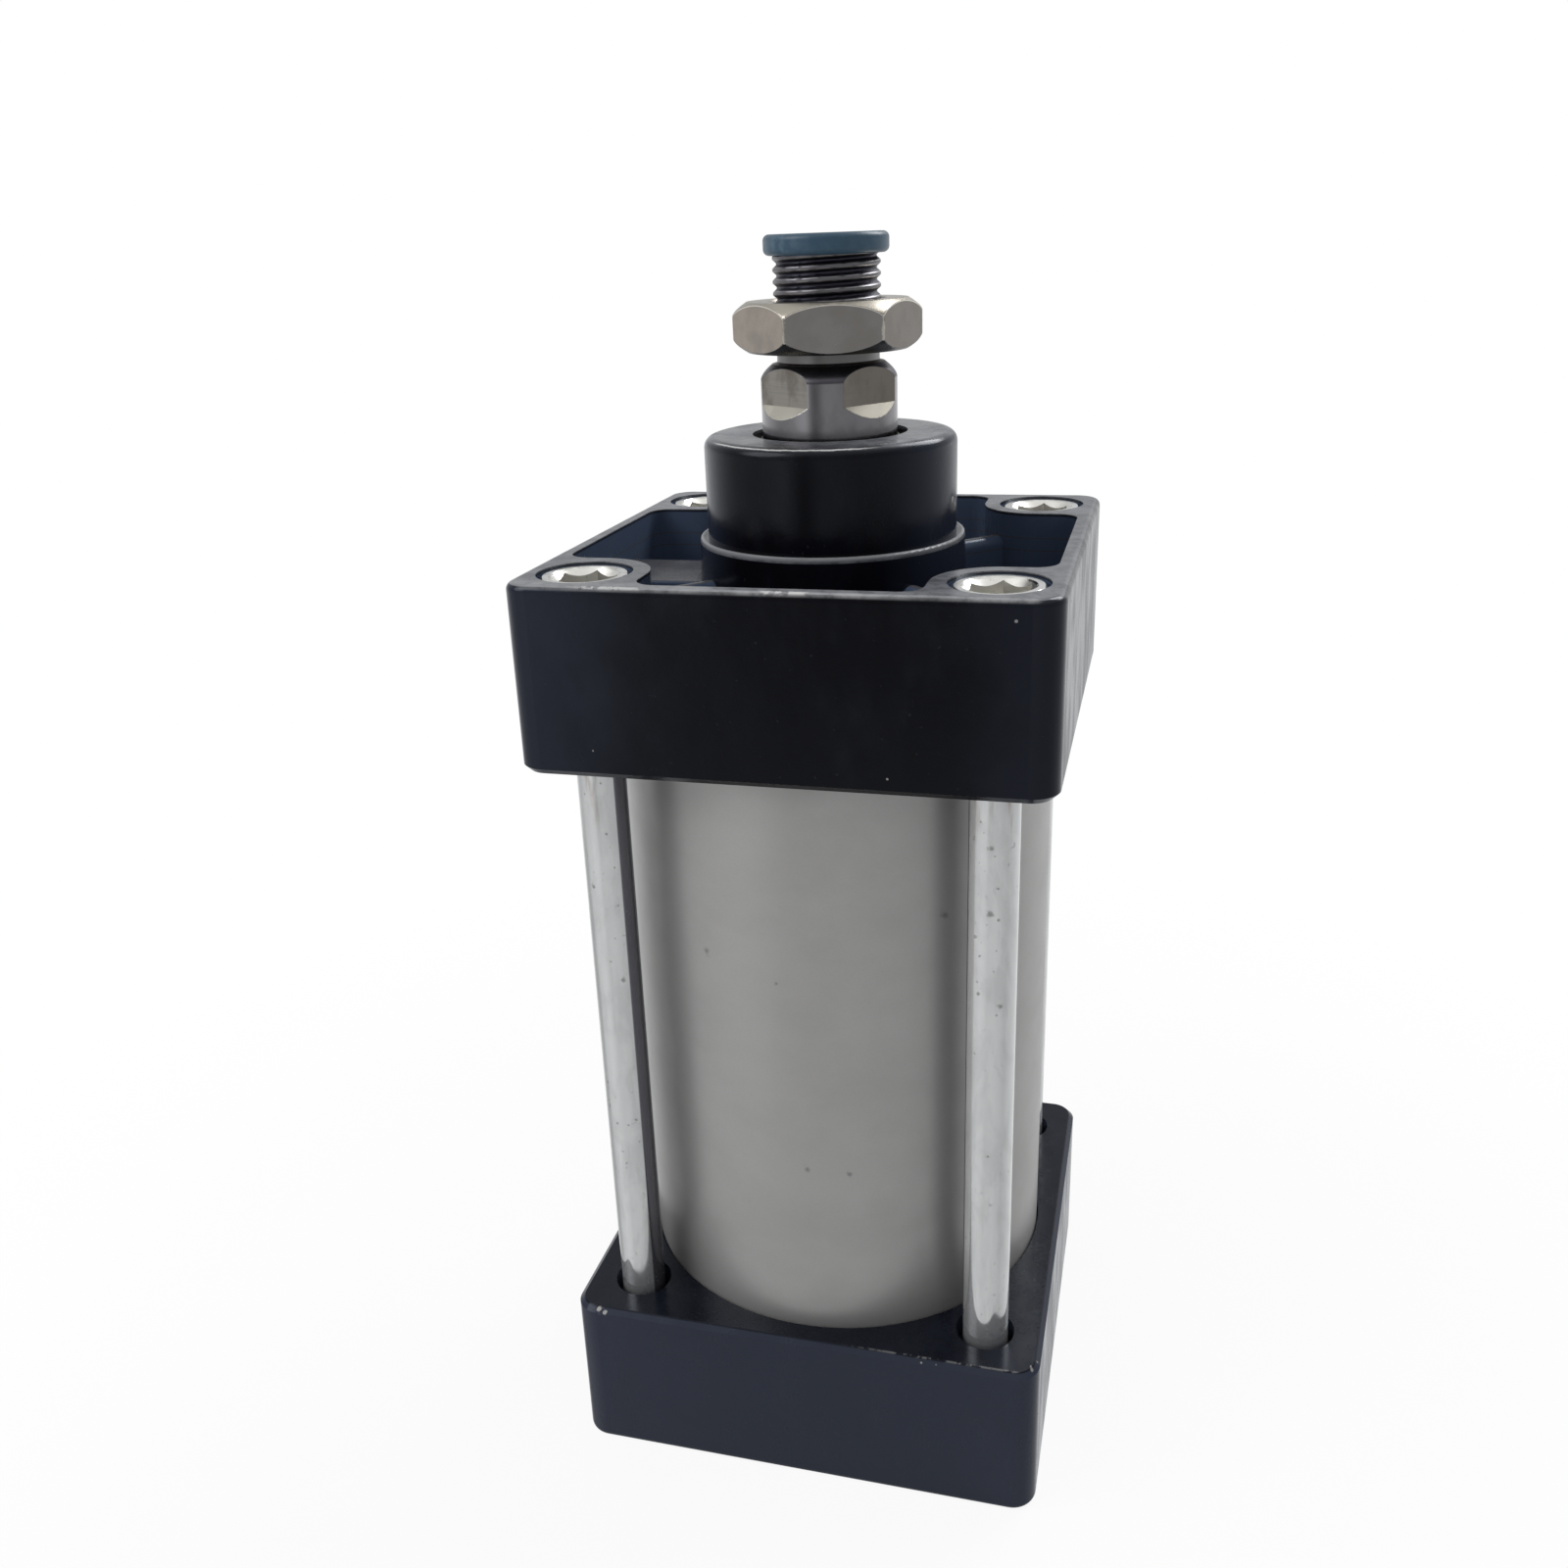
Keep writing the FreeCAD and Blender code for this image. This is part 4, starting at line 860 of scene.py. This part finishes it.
def lockNutPlating():
    # warm grey plating; the left flat is painted lighter and the right flat darker as painted light and
    # shade, the upper cone and the corners painted bright as painted highlights, and the lower cone painted
    # dark as painted shade
    material, tree, shader, place = newMaterial("platedLockNut", Metallic=1.0)
    x, y, z = split(tree, place)
    radius = fromAxis(tree, x, y)
    # how far the rounded cone has fallen at this radius, the same curve as the mesh
    pastFace = calc(tree, "SUBTRACT", radius, lockNut["face"])
    across = calc(tree, "DIVIDE", pastFace, lockNut["corner"] - lockNut["face"])
    across = calc(tree, "MAXIMUM", calc(tree, "MINIMUM", across, 1.0), 0.0)
    left = calc(tree, "POWER", calc(tree, "SUBTRACT", 1.0, across), 1 / lockNut["coneCurve"])
    drop = calc(tree, "MULTIPLY", calc(tree, "SUBTRACT", 1.0, left), lockNut["coneDepth"])
    below = calc(tree, "SUBTRACT", calc(tree, "SUBTRACT", lockNut["high"], z), drop)
    above = calc(tree, "SUBTRACT", calc(tree, "SUBTRACT", z, lockNut["low"]), drop)
    shake = calc(tree, "MULTIPLY", calc(tree, "SUBTRACT", grain(tree, place, 1.4, 3.0), 0.5), 0.0003)
    upper = levels(tree, below, 0.00004, 0.0001, 1, 0)
    lower = levels(tree, above, 0.00004, 0.0001, 1, 0)
    corner = levels(tree, calc(tree, "ADD", radius, shake), lockNut["corner"] - 0.0001, lockNut["corner"])
    cloud = levels(tree, grain(tree, place, 5.0, 4.0), 0.35, 0.7, 0.0, 0.6)
    scratch = spots(tree, place, lockNut["scratches"], 0.7, 0.4)
    # along the front flat, whose two ends part it from the left and the right ones
    facing = math.radians(lockNut["turned"] + 90)
    along = calc(tree, "ADD", calc(tree, "MULTIPLY", x, math.cos(facing)),
                 calc(tree, "MULTIPLY", y, math.sin(facing)))
    onLeft = levels(tree, along, -0.00868, -0.00862, 1, 0)
    onRight = levels(tree, along, 0.00862, 0.00868)
    # the left flat painted lighter and the right flat darker: painted light and shade
    tone = mixColours(tree, onLeft, lockNut["flatColour"], lockNut["leftFlatLightColour"])
    tone = mixColours(tree, onRight, tone, lockNut["rightFlatShadeColour"])
    tone = mixColours(tree, cloud, tone, lockNut["cloudColour"])
    tone = mixColours(tree, calc(tree, "MULTIPLY", scratch, 0.6), tone, lockNut["scratchColour"])
    # the lower cone painted dark as painted shade, the upper cone painted bright as a painted highlight
    tone = mixColours(tree, lower, tone, grey(0.14))
    tone = mixColours(tree, upper, tone, lockNut["upperConeHighlightColour"])
    # a bright line along the upper rim and bright corners: painted highlights
    rimLine = product(tree, near(tree, below, 0.00017, 0.00006), levels(tree, radius, 0.0149, 0.01495))
    edgeHighlight = strongest(tree, (rimLine, calc(tree, "MULTIPLY", corner, 0.6)))
    tone = mixColours(tree, edgeHighlight, tone, lockNut["edgeHighlightColour"])
    plug(tree, shader.inputs["Base Color"], tone)
    rough = levels(tree, cloud, 0, 1, lockNut["roughness"], lockNut["roughness"] + 0.12)
    plug(tree, shader.inputs["Roughness"], calc(tree, "ADD", rough, calc(tree, "MULTIPLY", scratch, 0.2)))
    bump(tree, shader, grain(tree, place, 0.8, 3.0), 0.006, 0.6)
    return material


def coneRadius(share):
    return lockNut["face"] + (lockNut["corner"] - lockNut["face"]) * (1 - (1 - share) ** lockNut["coneCurve"])


falls = [share * lockNut["coneDepth"] for share in between(0, 1, 26)]
lowCone = []
highCone = []
for fall in falls:
    reach = coneRadius(fall / lockNut["coneDepth"])
    lowCone.append((lockNut["low"] + fall, reach, lockNut["flatDistance"]))
    highCone.append((lockNut["high"] - fall, reach, lockNut["flatDistance"]))
bore = lockNut["bore"]
lead = lockNut["lead"]
rings = [(lockNut["low"] + lead, bore, None), (lockNut["low"], bore + lead, None)] + lowCone
rings += highCone[::-1] + [(lockNut["high"], bore + lead, None), (lockNut["high"] - lead, bore, None)]
nut = facetedBar("lockNutHexagon", rings, 6, lockNut["turned"], lockNut["columns"], closed=True)
nut.data.materials.append(lockNutPlating())
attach(nut, "lock_nut")
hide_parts("rod_lock_nut")
print("lock nut:", len(nut.data.polygons), "faces")


# Studio: pale floor, soft light, and a camera at the photograph's angle

studio = {
    "floorSize": 3.0,
    "floorDrop": 0.0001,      # just under the feet, so that the two faces don't flicker
    "floorTone": 0.80,
    "ambient": 0.50,
    # soft boxes and grey cards, seen only in reflections: degrees round to the camera's right, brightness
    "levelCards": [           # near the horizon
        (-180, 0.85), (-140, 0.85), (-120, 0.70), (-100, 0.50), (-75, 0.50), (-58, 0.70), (-44, 0.85),
        (-36, 0.45), (-30, 0.15), (-22, 0.22), (-12, 0.48), (10, 0.46), (30, 0.42), (60, 0.45), (90, 0.50),
        (115, 0.70), (140, 0.85), (180, 0.85)],
    "lowCards": [             # well below the horizon
        (-180, 0.80), (-158, 0.75), (-145, 0.58), (-131, 0.30), (-115, 0.30), (-97, 0.48), (-64, 0.55),
        (-45, 0.52), (-31, 0.46), (-12, 0.46), (8, 0.46), (36, 0.42), (58, 0.38), (78, 0.44), (104, 0.52),
        (120, 0.58), (134, 0.66), (150, 0.80), (180, 0.80)],
    "aboveShare": 0.72,       # of the level cards' brightness, above the horizon
    "sky": 0.85,
    "cameraPlace": (0.06252, -0.26572, 0.23845),
    "cameraAzimuth": 15.5,
    "lens": 33.03,
    # the camera's axes: its right, up and backward directions are the columns
    "cameraTurn": ((0.96629, -0.05984, 0.25040), (0.25515, 0.35239, -0.90040), (-0.03436, 0.93394, 0.35578)),
    # metres from the axis over which the floor fades to white for the camera, and its share of white there
    "floorFade": (0.08, 0.30, 0.92, 1.0),
    # metres, and watts for the power
    "lamps": [
        {"name": "backLight", "place": (0.5, 0.7, 0.9), "size": 0.6, "power": 6},
        {"name": "keyLight", "place": (-0.8, -0.5, 0.9), "size": 0.8, "power": 5}],
    "lampAim": (0, 0, 0.1),
}


def studioWorld():
    world = bpy.data.worlds.new("studio")
    bpy.context.scene.world = world
    world.use_nodes = True
    tree = world.node_tree
    tree.nodes.clear()
    direction = tree.nodes.new("ShaderNodeTexCoord").outputs["Generated"]
    x, y, z = split(tree, direction)
    aimed = math.radians(studio["cameraAzimuth"])
    ahead = calc(tree, "ADD", calc(tree, "MULTIPLY", x, math.sin(aimed)),
                 calc(tree, "MULTIPLY", y, -math.cos(aimed)))
    aside = calc(tree, "ADD", calc(tree, "MULTIPLY", x, math.cos(aimed)),
                 calc(tree, "MULTIPLY", y, math.sin(aimed)))
    angle = calc(tree, "ADD", calc(tree, "DIVIDE", calc(tree, "ARCTAN2", aside, ahead), 2 * math.pi), 0.5)
    rings = []
    for cards in (studio["levelCards"], studio["lowCards"]):
        ramp = tree.nodes.new("ShaderNodeValToRGB")
        points = ramp.color_ramp.elements
        while len(points) < len(cards):
            points.new(0.5)
        for point, (degrees, bright) in zip(points, cards):
            point.position = degrees / 360 + 0.5
            point.color = (bright * 0.99, bright, bright * 1.015, 1)
        tree.links.new(angle, ramp.inputs[0])
        rings.append(ramp.outputs[0])
    level = mixColours(tree, levels(tree, z, 0.0, 0.12, 1.0, studio["aboveShare"]), grey(0.0), rings[0])
    seen = mixColours(tree, levels(tree, z, -0.42, -0.22), rings[1], level)
    seen = mixColours(tree, levels(tree, z, 0.55, 0.85), seen, grey(studio["sky"]))
    shiny = tree.nodes.new("ShaderNodeBackground")
    tree.links.new(seen, shiny.inputs["Color"])
    plain = tree.nodes.new("ShaderNodeBackground")
    plain.inputs["Color"].default_value = grey(studio["ambient"])
    white = tree.nodes.new("ShaderNodeBackground")
    white.inputs["Color"].default_value = (1, 1, 1, 1)
    path = tree.nodes.new("ShaderNodeLightPath")
    byGloss = tree.nodes.new("ShaderNodeMixShader")
    tree.links.new(path.outputs["Is Glossy Ray"], byGloss.inputs[0])
    tree.links.new(plain.outputs[0], byGloss.inputs[1])
    tree.links.new(shiny.outputs[0], byGloss.inputs[2])
    byCamera = tree.nodes.new("ShaderNodeMixShader")
    straight = strongest(tree, (path.outputs["Is Camera Ray"], path.outputs["Is Transmission Ray"]))
    tree.links.new(straight, byCamera.inputs[0])
    tree.links.new(byGloss.outputs[0], byCamera.inputs[1])
    tree.links.new(white.outputs[0], byCamera.inputs[2])
    out = tree.nodes.new("ShaderNodeOutputWorld")
    tree.links.new(byCamera.outputs[0], out.inputs["Surface"])


def studioFloor():
    mesh = bpy.data.meshes.new("floor")
    half = studio["floorSize"] / 2
    corners = [(-half, -half, 0), (half, -half, 0), (half, half, 0), (-half, half, 0)]
    mesh.from_pydata(corners, [], [(0, 1, 2, 3)])
    floor = link("floor", mesh)
    floor.location.z = -studio["floorDrop"]
    material = bpy.data.materials.new("paleFloor")
    material.use_nodes = True
    tree = material.node_tree
    tree.nodes.clear()
    matt = tree.nodes.new("ShaderNodeBsdfDiffuse")
    matt.inputs["Color"].default_value = grey(studio["floorTone"])
    white = tree.nodes.new("ShaderNodeEmission")
    white.inputs["Strength"].default_value = 1.0
    clear = tree.nodes.new("ShaderNodeBsdfTransparent")
    path = tree.nodes.new("ShaderNodeLightPath")
    pale = tree.nodes.new("ShaderNodeMixShader")
    x, y, z = split(tree, tree.nodes.new("ShaderNodeTexCoord").outputs["Object"])
    fade = levels(tree, fromAxis(tree, x, y), *studio["floorFade"])
    tree.links.new(calc(tree, "MULTIPLY", path.outputs["Is Camera Ray"], fade), pale.inputs[0])
    tree.links.new(matt.outputs[0], pale.inputs[1])
    tree.links.new(white.outputs[0], pale.inputs[2])
    see = tree.nodes.new("ShaderNodeMixShader")
    tree.links.new(path.outputs["Is Glossy Ray"], see.inputs[0])
    tree.links.new(pale.outputs[0], see.inputs[1])
    tree.links.new(clear.outputs[0], see.inputs[2])
    out = tree.nodes.new("ShaderNodeOutputMaterial")
    tree.links.new(see.outputs[0], out.inputs["Surface"])
    mesh.materials.append(material)


def softLight(name, place, size, power):
    data = bpy.data.lights.new(name, "AREA")
    data.shape = "DISK"
    data.size = size
    data.energy = power
    lamp = link(name, data)
    lamp.location = place
    ray = Vector(studio["lampAim"]) - Vector(place)
    lamp.rotation_euler = ray.to_track_quat("-Z", "Y").to_euler()


def photoCamera():
    data = bpy.data.cameras.new("photoCamera")
    data.sensor_width = 36
    data.lens = studio["lens"]
    data.clip_start = 0.01
    camera = link("photoCamera", data)
    turn = Matrix(studio["cameraTurn"]).to_4x4()
    camera.matrix_world = Matrix.Translation(studio["cameraPlace"]) @ turn
    bpy.context.scene.camera = camera


bpy.context.scene.view_settings.view_transform = "Standard"
studioWorld()
studioFloor()
for lamp in studio["lamps"]:
    softLight(**lamp)
photoCamera()
print("studio ready")
